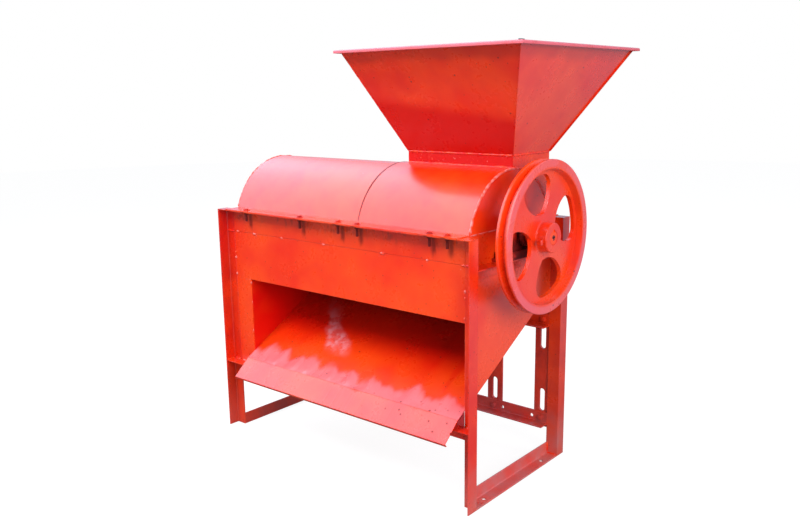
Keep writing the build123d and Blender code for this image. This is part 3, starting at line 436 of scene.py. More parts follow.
def cover_marks(shader, colour, place, along, cloud):
    """Painted shade along the seam between the two covers, widest at the top, and small run marks."""
    rise = along.out("Z")
    width = rise.between(frame_top + 0.02, right_cover_high.z, 0.0016, 0.0055)
    beyond = along - right_cover_low.x
    # Painted shade: a dark matt line along the edge of the right cover
    line = (beyond < width) * (beyond > -0.0045)
    line = line * rise.between(frame_top + 0.004, frame_top + 0.007)
    flecks = shader.specks(place, 30.0, 0.16, 0.10) * cloud.between(0.45, 0.60)
    return colour, (line * 0.94).most(flecks * 0.85), 0.0, sound_coat


def panel_marks(shader, colour, place, along, cloud):
    """Painted shade with blotches of grime under the cover's flange, a painted shadow line, and soot with
    painted shadows behind the hanging bolts.
    """
    rise = along.out("Z")
    # Grime in blotches, and painted shade under the flange
    near = rise.between(frame_top - 0.062, frame_top - 0.012)
    blotch = shader.noise(shader.stretch(place, (1.0, 0.3, 0.5)), 60.0, 4.0, 0.6)
    flange_grime_and_shade = blotch.between(0.52, 0.64) * near
    # Soot, and painted shadows of the hanging bolts on the rail behind them
    soot_and_bolt_shadows = 0.0
    for x in cover_bolts:
        soot_and_bolt_shadows = soot_and_bolt_shadows + (abs(along - x) + blotch * 0.016).between(0.022, 0.009)
    runs = rise + blotch * 0.030
    soot_and_bolt_shadows = soot_and_bolt_shadows * runs.between(frame_top - 0.055, frame_top - 0.030)
    # A painted shadow line under the flange
    band = (rise + cloud * 0.012).between(frame_top - 0.034, frame_top - 0.024)
    colour = shader.mix(colour, paint().grime_and_shade, flange_grime_and_shade * 0.35 + band * 0.10)
    return colour, soot_and_bolt_shadows * 0.62, 0.0, sound_coat


def chute_marks(shader, colour, place, along, cloud):
    """A soft fold with a painted sheen along it, streaks down the slope, a pale streak, and painted shade
    further in.
    """
    look = paint()
    across = along.out("Y")

    def behind_fold(first, last):
        """A mask that grows from one distance behind the fold to another."""
        return across.between(fold_y + first, fold_y + last)

    # The sheet is bent round, further up in some places than in others
    streak = shader.streaks(place, (22.0, 2.6, 2.6), 3.0, 0.6)
    lobes = shader.streaks(place, (19.0, 7.0, 7.0), 1.0)
    lobes = lobes * 0.11 + streak * 0.02 + along.between(-0.3, 0.45) * 0.015 - 0.070
    ragged = across.most(fold_y) + lobes * behind_fold(-0.01, 0.02)
    bend = (fold_y + 0.055 - ragged).most(0.0) * 0.225
    # Painted sheen along the fold
    pale = ragged.between(fold_y + 0.062, fold_y + 0.036) * behind_fold(-0.001, 0.003)

    fine_run = shader.streaks(place, (95.0, 4.0, 4.0))
    runs = fine_run.between(0.55, 0.75) * 0.00045 + streak.between(0.50, 0.75) * 0.0006
    drips = streak.between(0.60, 0.68) * behind_fold(0.02, 0.05) * 0.5
    flecks = shader.specks(place, 45.0, 0.9, 0.20) * along.between(0.05, 0.26) * behind_fold(0.05, 0.0)

    # The pale streak leans to the right on its way down, and is narrow at the top
    blotch = shader.noise(place, 38.0, 4.0, 0.6)
    wander = along + across * 0.80 + cloud * 0.06
    narrow = behind_fold(0.13, 0.23) * 0.055
    pale_streak_mask = wander.between(-0.245, -0.220) * (wander + narrow).between(-0.105, -0.160)
    pale_streak_mask = pale_streak_mask * behind_fold(0.08, 0.13) * blotch.between(0.38, 0.60, 0.25, 1.0)
    pale_streak_mask = pale_streak_mask * across.between(0.06, -0.10)

    # Painted shade: deeper red, then darker still, further in under the front panel
    colour = shader.mix(colour, look.deep_enamel_and_shade, across.between(-0.17, -0.06) * 0.85)
    colour = shader.mix(colour, look.grime_and_shade, across.between(0.0, 0.10) * 0.55)
    colour = shader.mix(colour, look.pale_streak, pale_streak_mask * 0.62)
    colour = shader.mix(colour, look.fold_sheen, pale * 0.75)
    return shader.mix(colour, look.deep_enamel_and_shade, drips), flecks * 0.8, bend + runs, sound_coat


def bearing_marks(shader, colour, place, along, cloud):
    """Painted shade: dark matt patches on the bearings, which sit behind the pulley."""
    return colour, cloud.between(0.30, 0.52) * 0.85, 0.0, 0.3


def pulley_marks(shader, colour, place, along, cloud):
    """Painted sheen on the outer face of the rim."""
    reach = shader.from_shaft(place)
    rim = reach.between(pulley_radius - 0.025, pulley_radius - 0.017) * cloud.between(0.2, 0.6, 0.25, 0.55)
    rim = rim * along.between(pulley_face - 0.006, pulley_face - 0.002)
    return shader.mix(colour, paint().rim_sheen, rim), 0.0, 0.0, sound_coat


def fastener_marks(shader, colour, place, along, cloud):
    """Painted shade on what hangs under the cover's flange, and not on the bolts near the ground."""
    rise = along.out("Z")
    hanging = rise.between(frame_top - 0.003, frame_top - 0.007) * rise.between(0.55, 0.60)
    return colour, hanging * 0.85, 0.0, 0.1


def bead_enamel(name, pale=0.0):
    """Painted weld metal, with dark pits between the ripples. The paint has gone pale on some of it."""
    look = paint()
    material, shader = new_shader(name)
    place = shader.place()
    rough_skin = shader.noise(place, 420.0, 4.0, 0.6)
    patches = shader.noise(place, 60.0, 3.0)
    colour = shader.mix(look.enamel, look.deep_enamel_and_shade, patches.between(0.35, 0.65))
    colour = shader.mix(colour, look.grime_and_shade, rough_skin.between(0.62, 0.80) * 0.6)
    if pale:
        colour = shader.mix(colour, look.weld_skin, patches.between(0.40, 0.60) * pale)
    shader.surface({
        "Base Color": colour,
        "Roughness": patches * 0.2 + 0.2,
        "Coat Weight": 0.5,
        "Coat Roughness": 0.2,
        "Normal": shader.bump(rough_skin, 0.0008),
    })
    return material


def turned_steel():
    """Turned and ground steel, with overspray at both ends and a dark mark round the axis on each end."""
    look = paint()
    material, shader = new_shader("turned_steel")
    place = shader.place()
    rings = shader.streaks(place, (900.0, 6.0, 6.0))
    stain = shader.noise(place, 30.0, 4.0)
    painted = (abs(shader.split(place, "X")) + stain * 0.012).between(0.524, 0.530)
    bare = shader.mix(look.steel, look.hot_rolled, stain.between(0.55, 0.80) * 0.5)
    coat = shader.mix(look.enamel, look.deep_enamel_and_shade, stain.between(0.4, 0.6))
    coated = shader.mix(bare, coat, painted)
    centre_mark = (shader.from_shaft(place) + stain * 0.010 - 0.005).between(0.0085, 0.0055)
    centre_mark = centre_mark * shader.noise(place, 160.0, 2.0).between(0.38, 0.48)
    shader.surface({
        "Base Color": shader.mix(coated, look.soot_and_shade, centre_mark),
        "Roughness": rings * 0.22 + 0.16,
        "Metallic": 1.0 - painted,
        "Normal": shader.bump(rings, 0.00012),
    })
    return material


def crop_worn_steel():
    """Hot-rolled steel with a rusty skin, rubbed bright on its edges."""
    look = paint()
    material, shader = new_shader("crop_worn_steel")
    place = shader.place()
    rounded, edges = shader.worn_edges(0.002)
    patches = shader.noise(place, 22.0, 5.0, 0.6)
    grain = shader.noise(place, 260.0, 3.0)
    rust = patches.between(0.50, 0.70)
    colour = shader.mix(look.hot_rolled, look.rust, rust * 0.7)
    colour = shader.mix(colour, look.steel, edges)
    shader.surface({
        "Base Color": colour,
        "Roughness": grain * 0.2 + 0.35 + rust * 0.2,
        "Metallic": 0.85 - rust * 0.5,
        "Normal": shader.bump(grain + patches * 2.0, 0.0004, rounded),
    })
    return material


def plated_steel():
    """Yellow plating, as on a grease nipple."""
    look = paint()
    material, shader = new_shader("plated_steel")
    stain = shader.noise(shader.place(), 300.0, 3.0)
    shader.surface({
        "Base Color": shader.mix(look.plating, look.tarnish, stain),
        "Roughness": stain * 0.2 + 0.25,
        "Metallic": 1.0,
        "Normal": shader.bump(stain, 0.0002),
    })
    return material


def material(name):
    """A material of the sheller, made the first time it is asked for."""
    known = bpy.data.materials.get(name)
    if known:
        return known
    angle_iron = {"peel": 1.2, "wave": 0.25, "chips": 0.5, "gloss": 0.20}
    casting = {"peel": 1.4, "wave": 0.1, "cast": 1.0}
    fastener = {"wave": 0.0, "chips": 0.8, "gloss": 0.4}
    enamels = {
        "frame_enamel": {**angle_iron, "deep": 0.12, "dull_and_shade": 0.07},
        # The next two are darker copies of the frame enamel: painted shade on legs, rails and posts that
        # stand in shade
        "shaded_enamel": {**angle_iron, "deep": 0.25, "dull_and_shade": 0.20},
        "painted_shade_enamel": {**angle_iron, "gloss": 0.26, "deep": 0.45, "dull_and_shade": 0.40},
        "rail_enamel": {**angle_iron, "chips": 0.4, "dull_and_shade": 0.05, "marks": panel_marks},
        "sheet_enamel": {"gloss": 0.20},
        "chute_enamel": {"wave": 0.8, "gloss": 0.20, "marks": chute_marks},
        # Painted shade: the divider stands in shade inside the chute, so its paint is deep red
        "divider_enamel": {"wave": 0.8, "gloss": 0.24, "deep": 0.80},
        "cover_enamel": {"wave": 0.7, "gloss": 0.15, "marks": cover_marks},
        "hopper_enamel": {"wave": 1.3, "gloss": 0.20, "deep": 0.16, "dull_and_shade": 0.06, "marks": hopper_marks},
        "cast_enamel": {**casting, "chips": 0.4, "gloss": 0.2, "marks": pulley_marks},
        # Painted shade: the bearings are darker and patchy, as they sit behind the pulley
        "bearing_enamel": {**casting, "gloss": 0.3, "deep": 0.4, "dull_and_shade": 0.4, "marks": bearing_marks},
        # Painted shade: the fasteners are a deeper, darker red for the shade on their undersides
        "fastener_enamel": {**fastener, "deep": 0.5, "dull_and_shade": 0.4, "marks": fastener_marks},
    }
    others = {
        "weld_enamel": lambda: bead_enamel("weld_enamel"),
        "pale_weld_enamel": lambda: bead_enamel("pale_weld_enamel", 0.45),
        "turned_steel": turned_steel,
        "crop_worn_steel": crop_worn_steel,
        "plated_steel": plated_steel,
    }
    if name in enamels:
        return enamel(name, **enamels[name])
    return others[name]()


def named(*endings):
    """The CAD nodes whose names have one of these endings."""
    return [name for name in nodes if name.endswith(endings)]


def dress(node_names, material_name):
    """Gives CAD nodes their material."""
    for name in node_names:
        slots = nodes[name].material_slots
        for slot in slots:
            slot.material = material(material_name)
        if not slots:
            nodes[name].data.materials.append(material(material_name))


def piece(name, mesh, material_name, body, smooth_angle=35.0):
    """Turns a bmesh into a piece that rides on a body."""
    data = bpy.data.meshes.new(name)
    bmesh.ops.recalc_face_normals(mesh, faces=mesh.faces)
    mesh.to_mesh(data)
    mesh.free()
    data.materials.append(material(material_name))
    data.shade_smooth()
    data.set_sharp_from_angle(angle=math.radians(smooth_angle))
    made = bpy.data.objects.new(name, data)
    bpy.context.scene.collection.objects.link(made)
    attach(made, body)
    return made


def weld_piece(name, mesh, material_name, body="frame"):
    """A piece of weld metal, shaded smooth over its ripples."""
    piece(name, mesh, material_name, body, 60.0)


def solids_of(node):
    """The lowest and highest corners of each separate solid of a CAD node."""
    data = nodes[node].data
    corners = [tuple(round(c, 6) for c in vertex.co) for vertex in data.vertices]
    leader = {corner: corner for corner in corners}

    def top(corner):
        while leader[corner] != corner:
            leader[corner] = leader[leader[corner]]
            corner = leader[corner]
        return corner

    for polygon in data.polygons:
        first = top(corners[polygon.vertices[0]])
        for index in polygon.vertices:
            leader[top(corners[index])] = first
    groups = {}
    for corner in leader:
        groups.setdefault(top(corner), []).append(corner)
    boxes = []
    for group in groups.values():
        low = Vector(min(corner[axis] for corner in group) for axis in range(3))
        high = Vector(max(corner[axis] for corner in group) for axis in range(3))
        boxes.append((low, high))
    return sorted(boxes, key=lambda box: tuple(box[0]))


def ring(mesh, centre, across, upward, radius, sides, phase=0.0):
    """One closed ring of vertices."""
    made = []
    for number in range(sides):
        angle = 2 * math.pi * number / sides + phase
        way = across * math.cos(angle) * radius + upward * math.sin(angle) * radius
        made.append(mesh.verts.new(centre + way))
    return made


def join_rings(mesh, rings):
    """Faces between rings that follow each other, with both ends closed."""
    for first, second in zip(rings, rings[1:]):
        count = len(first)
        for number in range(count):
            after = (number + 1) % count
            mesh.faces.new((first[number], first[after], second[after], second[number]))
    mesh.faces.new(list(reversed(rings[0])))
    mesh.faces.new(rings[-1])


def bead(mesh, points, share=1.0, lumps=0.30, seed=0):
    """A weld bead along a line of points: overlapping ripples, uneven width and rounded ends.

    Its radius is a share of a normal bead's.
    """
    sizes = weld()
    radius = sizes.bead_radius * share
    points = [Vector(point) for point in points]
    lengths = [(b - a).length for a, b in zip(points, points[1:])]
    total = sum(lengths)
    steps = max(5, round(total / (sizes.ripple / 3.0)))
    rings = []
    for step in range(steps + 1):
        along = total * step / steps
        left = along
        run = 0
        while run < len(lengths) - 1 and left > lengths[run]:
            left -= lengths[run]
            run += 1
        way = (points[run + 1] - points[run]).normalized()
        centre = points[run] + way * left
        helper = Vector((0, 0, 1)) if abs(way.z) < 0.8 else Vector((1, 0, 0))
        across = way.cross(helper).normalized()
        upward = across.cross(way)
        end_taper = math.sqrt(max(0.04, min(1.0, along / radius / 1.2, (total - along) / radius / 1.2)))
        ripple = abs(math.sin(math.pi * along / sizes.ripple))
        uneven = noise.noise(centre * 95.0 + Vector((seed, 0, 0)))
        drift = noise.noise(centre * 40.0 + Vector((0, seed, 7.0))) * radius * 0.25
        size = radius * end_taper * (0.82 + lumps * ripple * 0.6 + lumps * uneven)
        rings.append(ring(mesh, centre + upward * drift, across, upward, size, sizes.sides, step / steps))
    join_rings(mesh, rings)


def drop(mesh, centre, radius, seed=0):
    """One lump of spatter or weld metal."""
    made = bmesh.ops.create_icosphere(mesh, subdivisions=2, radius=radius)["verts"]
    for vertex in made:
        bulge = 1.0 + 0.25 * noise.noise(vertex.co * (2.1 / radius) + Vector((seed, 3.0, 0.0)))
        vertex.co = vertex.co * bulge + Vector(centre)


def spatter(mesh, corner, first_way, second_way, count, seed, keep_near=1.6):
    """Drops scattered over a flat patch, thickest near its first edge."""
    draw = random.Random(seed)
    for number in range(count):
        across = draw.random()
        away = draw.random() ** keep_near
        size = weld().spatter * (0.35 + 0.65 * draw.random() ** 2)
        centre = Vector(corner) + Vector(first_way) * across + Vector(second_way) * away
        drop(mesh, centre, size, number)


def hex_radius(apothem, angle):
    """Distance from the middle of a hexagon to its edge at an angle."""
    sector = math.pi / 3
    return apothem / math.cos((angle + sector / 2) % sector - sector / 2)


def hexagon(mesh, place, apothem, low, high):
    """A hexagon head or nut whose corners are turned off at its upper end."""
    sides = 36
    turned = apothem * 0.96
    chamfer = math.tan(math.radians(30.0))
    rings = []
    for level in ("foot", "shoulder", "top"):
        made = []
        for number in range(sides):
            angle = 2 * math.pi * number / sides
            reach = hex_radius(apothem, angle)
            height = low if level == "foot" else high
            if level == "shoulder":
                height -= (reach - turned) * chamfer
            elif level == "top":
                reach = turned
            point = Vector((reach * math.cos(angle), reach * math.sin(angle), height))
            made.append(mesh.verts.new(place @ point))
        rings.append(made)
    join_rings(mesh, rings)


def round_bar(mesh, place, levels, sides=28):
    """A turned body from (height, radius) pairs, in rising order."""
    across = place.to_3x3() @ Vector((1, 0, 0))
    upward = place.to_3x3() @ Vector((0, 1, 0))
    rings = []
    for height, radius in levels:
        rings.append(ring(mesh, place @ Vector((0, 0, height)), across, upward, radius, sides))
    join_rings(mesh, rings)


def washer_thickness(diameter):
    """Thickness of the washer that goes with a bolt."""
    return 0.16 * diameter


def head_height(diameter):
    """Height of a bolt's head over its seat, washer included."""
    return 0.65 * diameter


def bolt(mesh, place, diameter, length, washer_radius):
    """A hexagon bolt with washer. Its seat is at height 0 and its head points along +Z."""
    washer = washer_thickness(diameter)
    rounding = 0.15 * washer
    levels = ((0.0, washer_radius), (washer - rounding, washer_radius), (washer, washer_radius - rounding))
    round_bar(mesh, place, levels, 36)
    hexagon(mesh, place, 0.8 * diameter, washer, head_height(diameter))
    pitch = 0.15 * diameter
    threaded = 0.55 * length
    core = 0.46 * diameter
    levels = [(-length, core * 0.86), (-length + pitch * 0.6, core)]
    height = -length + pitch
    while height < -length + threaded:
        levels.append((height, diameter / 2))
        levels.append((height + pitch / 2, core))
        height += pitch
    levels.append((height, diameter / 2))
    levels.append((washer / 2, diameter / 2))
    round_bar(mesh, place, levels, 20)


def pose_along(seat, way, turn=0.0):
    """A matrix whose origin is the seat and whose +Z points the given way."""
    rotation = Vector(way).to_track_quat("Z", "Y").to_matrix().to_4x4()
    return Matrix.Translation(seat) @ rotation @ Matrix.Rotation(turn, 4, "Z")


def fasteners(bolt_node, nut_node, diameter, way, wide=1.0):
    """Detailed bolts and nuts that replace the CAD ones. Heads point along way. Wide is for large washers."""
    axis = max(range(3), key=lambda index: abs(way[index]))
    sign = 1.0 if way[axis] > 0 else -1.0
    draw = random.Random(len(bolt_node) * 7)
    heads = bmesh.new()
    for low, high in solids_of(bolt_node):
        seat = (low + high) / 2
        tip = high[axis] if sign > 0 else low[axis]
        seat[axis] = tip - sign * head_height(diameter)
        length = (high[axis] - low[axis]) - head_height(diameter)
        bolt(heads, pose_along(seat, way, draw.random() * math.pi), diameter, length, diameter * wide)
    nuts = bmesh.new()
    for low, high in solids_of(nut_node):
        seat = (low + high) / 2
        seat[axis] = high[axis] if sign > 0 else low[axis]
        washer = washer_thickness(diameter)
        place = pose_along(seat, Vector(way) * -1.0, draw.random() * math.pi)
        round_bar(nuts, place, ((0.0, diameter), (washer, diameter)), 36)
        hexagon(nuts, place, 0.8 * diameter, washer, high[axis] - low[axis])
    for node, mesh in ((bolt_node, heads), (nut_node, nuts)):
        made = piece(node + "_set", mesh, "fastener_enamel", "frame")
        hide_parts(node)


class Dress:
    """What all the operators share."""

    bl_options = {"REGISTER", "UNDO"}


class SHELLER_OT_frame(Dress, bpy.types.Operator):
    """Paint the angle-iron frame and weld its joints"""

    bl_idname = "sheller.frame"
    bl_label = "Frame"

    def execute(self, context):
        dress(named("_leg", "_rail"), "frame_enamel")
        dress(("front_top_rail", "rear_top_rail"), "rail_enamel")
        # Painted shade: darker copies of the enamel on the legs and rails that stand in shade
        dress(("front_left_leg", "rear_right_leg"), "shaded_enamel")
        dress(("left_base_rail", "rear_lower_rail", "rear_middle_rail"), "painted_shade_enamel")
        thick = angle_thickness
        rail_top = bearing_rail_high.z
        front_face = -heel_y - thick
        mesh = bmesh.new()
        seed = 0
        for side in (-1, 1):
            near_x = side * (inner_x + thick)
            far_x = side * (outer_x - thick)
            # Foot, base rail, bearing rail and top rail at each leg
            for end in (-1, 1):
                y = end * heel_y
                leg_face = end * (heel_y + thick)
                top_start = (side * (inner_x + 0.002), leg_face, top_rail_low.z)
                top_end = (side * (outer_x - 0.004), leg_face, top_rail_low.z)
                runs = (
                    ((near_x, y, thick), (far_x, y, thick), 1.0),
                    ((near_x, y, thick * 2), (near_x, y, base_top - 0.002), 1.0),
                    ((near_x, y, rail_top), (far_x, y, rail_top), 0.9),
                    ((near_x, y, bearing_rail_low.z + 0.003), (near_x, y, rail_top - thick), 1.0),
                    (top_start, top_end, 1.0),
                )
                seed += 5
                for number, (first, last, share) in enumerate(runs):
                    bead(mesh, [first, last], share, seed=seed + number)
            for rail in ("rear_lower_rail", "rear_middle_rail"):
                low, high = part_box(rail)
                seed += 1
                x = side * inner_x
                bead(mesh, [(x, high.y, low.z + 0.003), (x, high.y, high.z - 0.003)], 0.9, seed=seed)
            # The front lower rail has heavier beads on top
            rail_y = low_rail_high.y - 0.0005
            rail_z = low_rail_high.z
            rail_x = side * (inner_x + 0.003)
            rail_end = side * (outer_x - 0.006)
            x = side * inner_x
            runs = (
                ((rail_x, front_face, rail_z), (rail_end, front_face, rail_z), 1.25, 0.45),
                ((far_x, front_face - 0.002, rail_z), (far_x, low_rail_low.y + 0.003, rail_z), 1.0, 0.45),
                ((x, rail_y, rail_z - 0.036), (x, rail_y, rail_z - 0.005), 0.8, 0.3),
            )
            for number, (first, last, share, lumps) in enumerate(runs):
                bead(mesh, [first, last], share, lumps, seed + 50 + number)
        spot = (-outer_x + 0.006, low_rail_low.y + 0.007, low_rail_high.z)
        spatter(mesh, spot, (0.050, 0, 0), (0, 0.028, 0), 26, 3, 1.0)
        spatter(mesh, (inner_x + 0.004, -heel_y + 0.001, 0.006), (0.032, 0, 0), (0, 0.05, 0), 10, 4)
        weld_piece("frame_welds", mesh, "weld_enamel")
        return {"FINISHED"}


class SHELLER_OT_body(Dress, bpy.types.Operator):
    """Paint the panels and the chute, and tack them to the frame"""

    bl_idname = "sheller.body"
    bl_label = "Body panels"

    def execute(self, context):
        dress(named("_panel", "_strip", "_side_plate"), "sheet_enamel")
        dress(("grain_chute", "chute_sill"), "chute_enamel")
        dress(("chute_divider",), "divider_enamel")
        mesh = bmesh.new()
        half = weld().tack_length / 2
        panel_y = panel_low.y
        seam = panel_high.z
        for number, x in enumerate(seam_tacks):
            reach = half * (1.0 + 0.3 * math.sin(number * 2.1))
            bead(mesh, [(x - reach, panel_y, seam), (x + reach, panel_y, seam)], 0.95, 0.5, number)
            spatter(mesh, (x - 0.02, panel_y, seam - 0.012), (0.04, 0, 0), (0, 0, 0.026), 7, number, 1.0)
            rear = [(x - reach, -panel_y, seam), (x + reach, -panel_y, seam)]
            bead(mesh, rear, 0.95, 0.5, number + 20)

        def upright(x, y, low, high, share, lumps, seed):
            """An upright tack."""
            bead(mesh, [(x, y, low), (x, y, high)], share, lumps, seed)

        leg_y = -heel_y + 0.001
        for side in (-1, 1):
            x = side * inner_x
            for number, z in enumerate(panel_end_tacks):
                for y in (panel_y, -panel_y):
                    upright(x, y, z - half * 0.8, z + half * 0.6, 0.9, 0.5, number + 30)
            for number, z in enumerate(leg_tacks):
                upright(x, leg_y, z - half, z + half, 0.8, 0.4, number + 40)
        strip_y = strip_low.y
        for number, z in enumerate(strip_tacks):
            upright(strip_high.x, strip_y, z - half * 0.7, z + half * 0.7, 0.7, 0.4, number + 60)
        foot = [(strip_low.x + 0.004, strip_y, strip_low.z), (strip_high.x - 0.002, strip_y, strip_low.z)]
        bead(mesh, foot, 1.0, 0.4, 70)
        for number in range(7):
            x = chute_low.x + 0.06 + number * (chute_high.x - chute_low.x - 0.12) / 6
            sill = [(x - half, sill_seam_y, sill_seam_z), (x + half, sill_seam_y, sill_seam_z)]
            bead(mesh, sill, 0.8, 0.4, number + 80)
        weld_piece("body_tacks", mesh, "pale_weld_enamel")
        return {"FINISHED"}


class SHELLER_OT_covers(Dress, bpy.types.Operator):
    """Paint the drum cover and weld its end plates"""

    bl_idname = "sheller.covers"
    bl_label = "Drum cover"

    def execute(self, context):
        dress(named("_cover", "_cover_end"), "cover_enamel")
        mesh = bmesh.new()
        start = math.asin((frame_top - cover_axis_height + 0.004) / cover_radius)
        for x, proud in ((right_cover_high.x, 0.0018), (left_cover_low.x, -0.0008)):
            reach = cover_radius + proud - 0.0012
            line = []
            for step in range(61):
                angle = start + (math.pi - 2 * start) * step / 60
                line.append((x, reach * math.cos(angle), cover_axis_height + reach * math.sin(angle)))
            bead(mesh, line, 0.85, 0.5, 5)
        # Where each end plate stands on its side plate
        for x in (right_cover_high.x, left_cover_low.x):
            for sign in (-1, 1):
                foot = [(x, sign * 0.045, frame_top), (x, sign * 0.205, frame_top)]
                bead(mesh, foot, 0.55, 0.35, 9)
        weld_piece("cover_welds", mesh, "pale_weld_enamel")
        return {"FINISHED"}


class SHELLER_OT_hopper(Dress, bpy.types.Operator):
    """Paint the hopper and weld its corners, its foot and its rim"""

    bl_idname = "sheller.hopper"
    bl_label = "Hopper"

    def execute(self, context):
        dress(named("_wall", "_throat"), "hopper_enamel")
        mesh = bmesh.new()
        throat_z = throat_high.z
        rim_z = rim_high.z - rim_lip
        rim = (rim_low.x + rim_flange, rim_high.x - rim_flange, rim_low.y + rim_flange, rim_rear - rim_flange)
        throat = (throat_low.x, throat_high.x, throat_low.y, throat_high.y)
        # Each corner is the place of its X and of its Y in the two lists
        corners = [(0, 2), (1, 2), (1, 3), (0, 3)]
        share = (rim_z - throat_z) / (rim_high.z - throat_z)

        def corner_edge(x, y):
            """Foot and top of one corner of the hopper, up to the underside of the rim."""
            low = Vector((throat[x], throat[y], throat_z))
            high = Vector((rim[x], rim[y], rim_high.z))
            return low, low.lerp(high, share)

        edges = bmesh.new()
        for number, (x, y) in enumerate(corners):
            bead(edges, corner_edge(x, y), 0.36, 0.35, number)
            outward = Vector((1 if x == 1 else -1, 1 if y == 3 else -1, 0))
            knob_radius = 0.0034
            knob = Vector((rim[x], rim[y], rim_high.z - 0.004)) + outward * (rim_flange - knob_radius)
            drop(edges, knob, knob_radius, number)
        weld_piece("hopper_corner_welds", edges, "hopper_enamel")
        for number in range(4):
            a = corners[number]
            b = corners[(number + 1) % 4]
            foot = [(throat[a[0]], throat[a[1]], throat_z), (throat[b[0]], throat[b[1]], throat_z)]
            bead(mesh, foot, 0.85, 0.5, number + 10)

        def arch_height(y):
            """Height of the throat's foot, which follows the arch of the cover."""
            return cover_axis_height + math.sqrt((cover_radius + 0.0028) ** 2 - y**2)

        for number, (x, shift) in enumerate(((throat[0], -0.001), (throat[1], 0.001))):
            line = []
            for step in range(25):
                y = throat[2] + (throat[3] - throat[2]) * step / 24
                line.append((x + shift, y, arch_height(y)))
            bead(mesh, line, 0.85, 0.5, number + 20)
        for number, (y, shift) in enumerate(((throat[2], -0.001), (throat[3], 0.001))):
            z = arch_height(y)
            foot = [(throat[0], y + shift, z), (throat[1], y + shift, z)]
            bead(mesh, foot, 0.85, 0.5, number + 30)
        weld_piece("hopper_welds", mesh, "weld_enamel")

        drops = bmesh.new()
        low_z = 0.950
        band = (0, 0, 0.024)
        spatter(drops, (throat[0] + 0.02, throat[2], low_z), (0.34, 0, 0), band, 34, 11, 1.0)
        spatter(drops, (throat[1], throat[2] + 0.02, low_z), (0, 0.16, 0), band, 10, 12, 1.0)
        weld_piece("hopper_spatter", drops, "pale_weld_enamel")

        # A burnt run of weld on the front corner of the rim
        middle = Vector((rim_high.x - 0.010, rim_low.y + 0.010, rim_high.z + 0.0004))
        loop = []
        for step in range(25):
            angle = 2 * math.pi * step / 24
            loop.append(middle + Vector((math.cos(angle), math.sin(angle), 0)) * 0.0062)
        burnt = bmesh.new()
        bead(burnt, loop, 0.5, 0.5, 3)
        weld_piece("rim_weld", burnt, "crop_worn_steel")

        # The rear wall stands a little past the side walls as a seam
        seam = bmesh.new()
        deep = Vector((0, -0.0026, 0))
        for x, sign in ((0, -1), (1, 1)):
            out = Vector((sign * 0.0050, 0, 0))
            inward = Vector((-sign * 0.002, 0, 0))
            section = (inward, out, out + deep, inward + deep)
            ends = [[seam.verts.new(end + corner) for corner in section] for end in corner_edge(x, 3)]
            join_rings(seam, ends)
        bmesh.ops.bevel(seam, geom=list(seam.edges), offset=0.0006, segments=2, affect="EDGES")
        piece("hopper_seams", seam, "hopper_enamel", "frame")
        return {"FINISHED"}


class SHELLER_OT_rotor(Dress, bpy.types.Operator):
    """Finish the shaft, the drum and its pegs"""

    bl_idname = "sheller.rotor"
    bl_label = "Shaft and drum"

    def execute(self, context):
        dress(("rotor_shaft", "pulley_key"), "turned_steel")
        dress(named("_tube", "_discs", "_pegs", "_paddles"), "crop_worn_steel")
        mesh = bmesh.new()
        # Half the side of the square that the bead runs round, and the bead's size
        half = 0.0066
        share = 0.0022 / weld().bead_radius
        for number, (low, high) in enumerate(solids_of("drum_pegs")):
            middle = (low + high) / 2
            out = Vector((0, middle.y, middle.z - shaft_height)).normalized()
            side = Vector((0, -out.z, out.y))
            foot = Vector((middle.x, 0, shaft_height)) + out * (tube_radius + 0.001)
            corners = []
            for along, across in ((-1, -1), (1, -1), (1, 1), (-1, 1), (-1, -1)):
                corners.append(foot + Vector((along * half, 0, 0)) + side * across * half)
            bead(mesh, corners, share, 0.4, number)
        weld_piece("peg_welds", mesh, "crop_worn_steel", "rotor")
        return {"FINISHED"}


class SHELLER_OT_pulley(Dress, bpy.types.Operator):
    """Paint the pulley and its set screw"""

    bl_idname = "sheller.pulley"
    bl_label = "Pulley"

    def execute(self, context):
        dress(("pulley",), "cast_enamel")
        dress(("set_screw",), "frame_enamel")
        return {"FINISHED"}


class SHELLER_OT_grate(Dress, bpy.types.Operator):
    """Finish the grate under the drum"""

    bl_idname = "sheller.grate"
    bl_label = "Concave grate"

    def execute(self, context):
        dress(("grate_bars", "grate_ribs", "grate_side_bars"), "crop_worn_steel")
        return {"FINISHED"}


class SHELLER_OT_bearings(Dress, bpy.types.Operator):
    """Paint the pillow blocks and fit their grease nipples"""

    bl_idname = "sheller.bearings"
    bl_label = "Bearings"

    def execute(self, context):
        dress(named("_block", "_packing", "_ring"), "bearing_enamel")
        lean = 0.6
        out = Vector((0, -math.sin(lean), math.cos(lean)))
        nut = ((0.0, 0.0035), (0.003, 0.0035))
        neck = ((0.004, 0.0024), (0.008, 0.0024))
        tip = ((0.009, 0.0032), (0.0115, 0.0032), (0.013, 0.0016))
        mesh = bmesh.new()
        for side in ("left", "right"):
            low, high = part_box(side + "_bearing_block")
            middle = Vector(((low.x + high.x) / 2, 0, shaft_height))
            reach = high.z - shaft_height
            round_bar(mesh, pose_along(middle + out * (reach - 0.002), out), nut + neck + tip, 16)
        piece("grease_nipples", mesh, "plated_steel", "frame")
        return {"FINISHED"}


class SHELLER_OT_posts(Dress, bpy.types.Operator):
    """Paint the slotted motor posts"""

    bl_idname = "sheller.posts"
    bl_label = "Motor posts"

    def execute(self, context):
        # Painted shade: the posts stand in shade and take the darker enamel
        dress(named("_post"), "painted_shade_enamel")
        return {"FINISHED"}


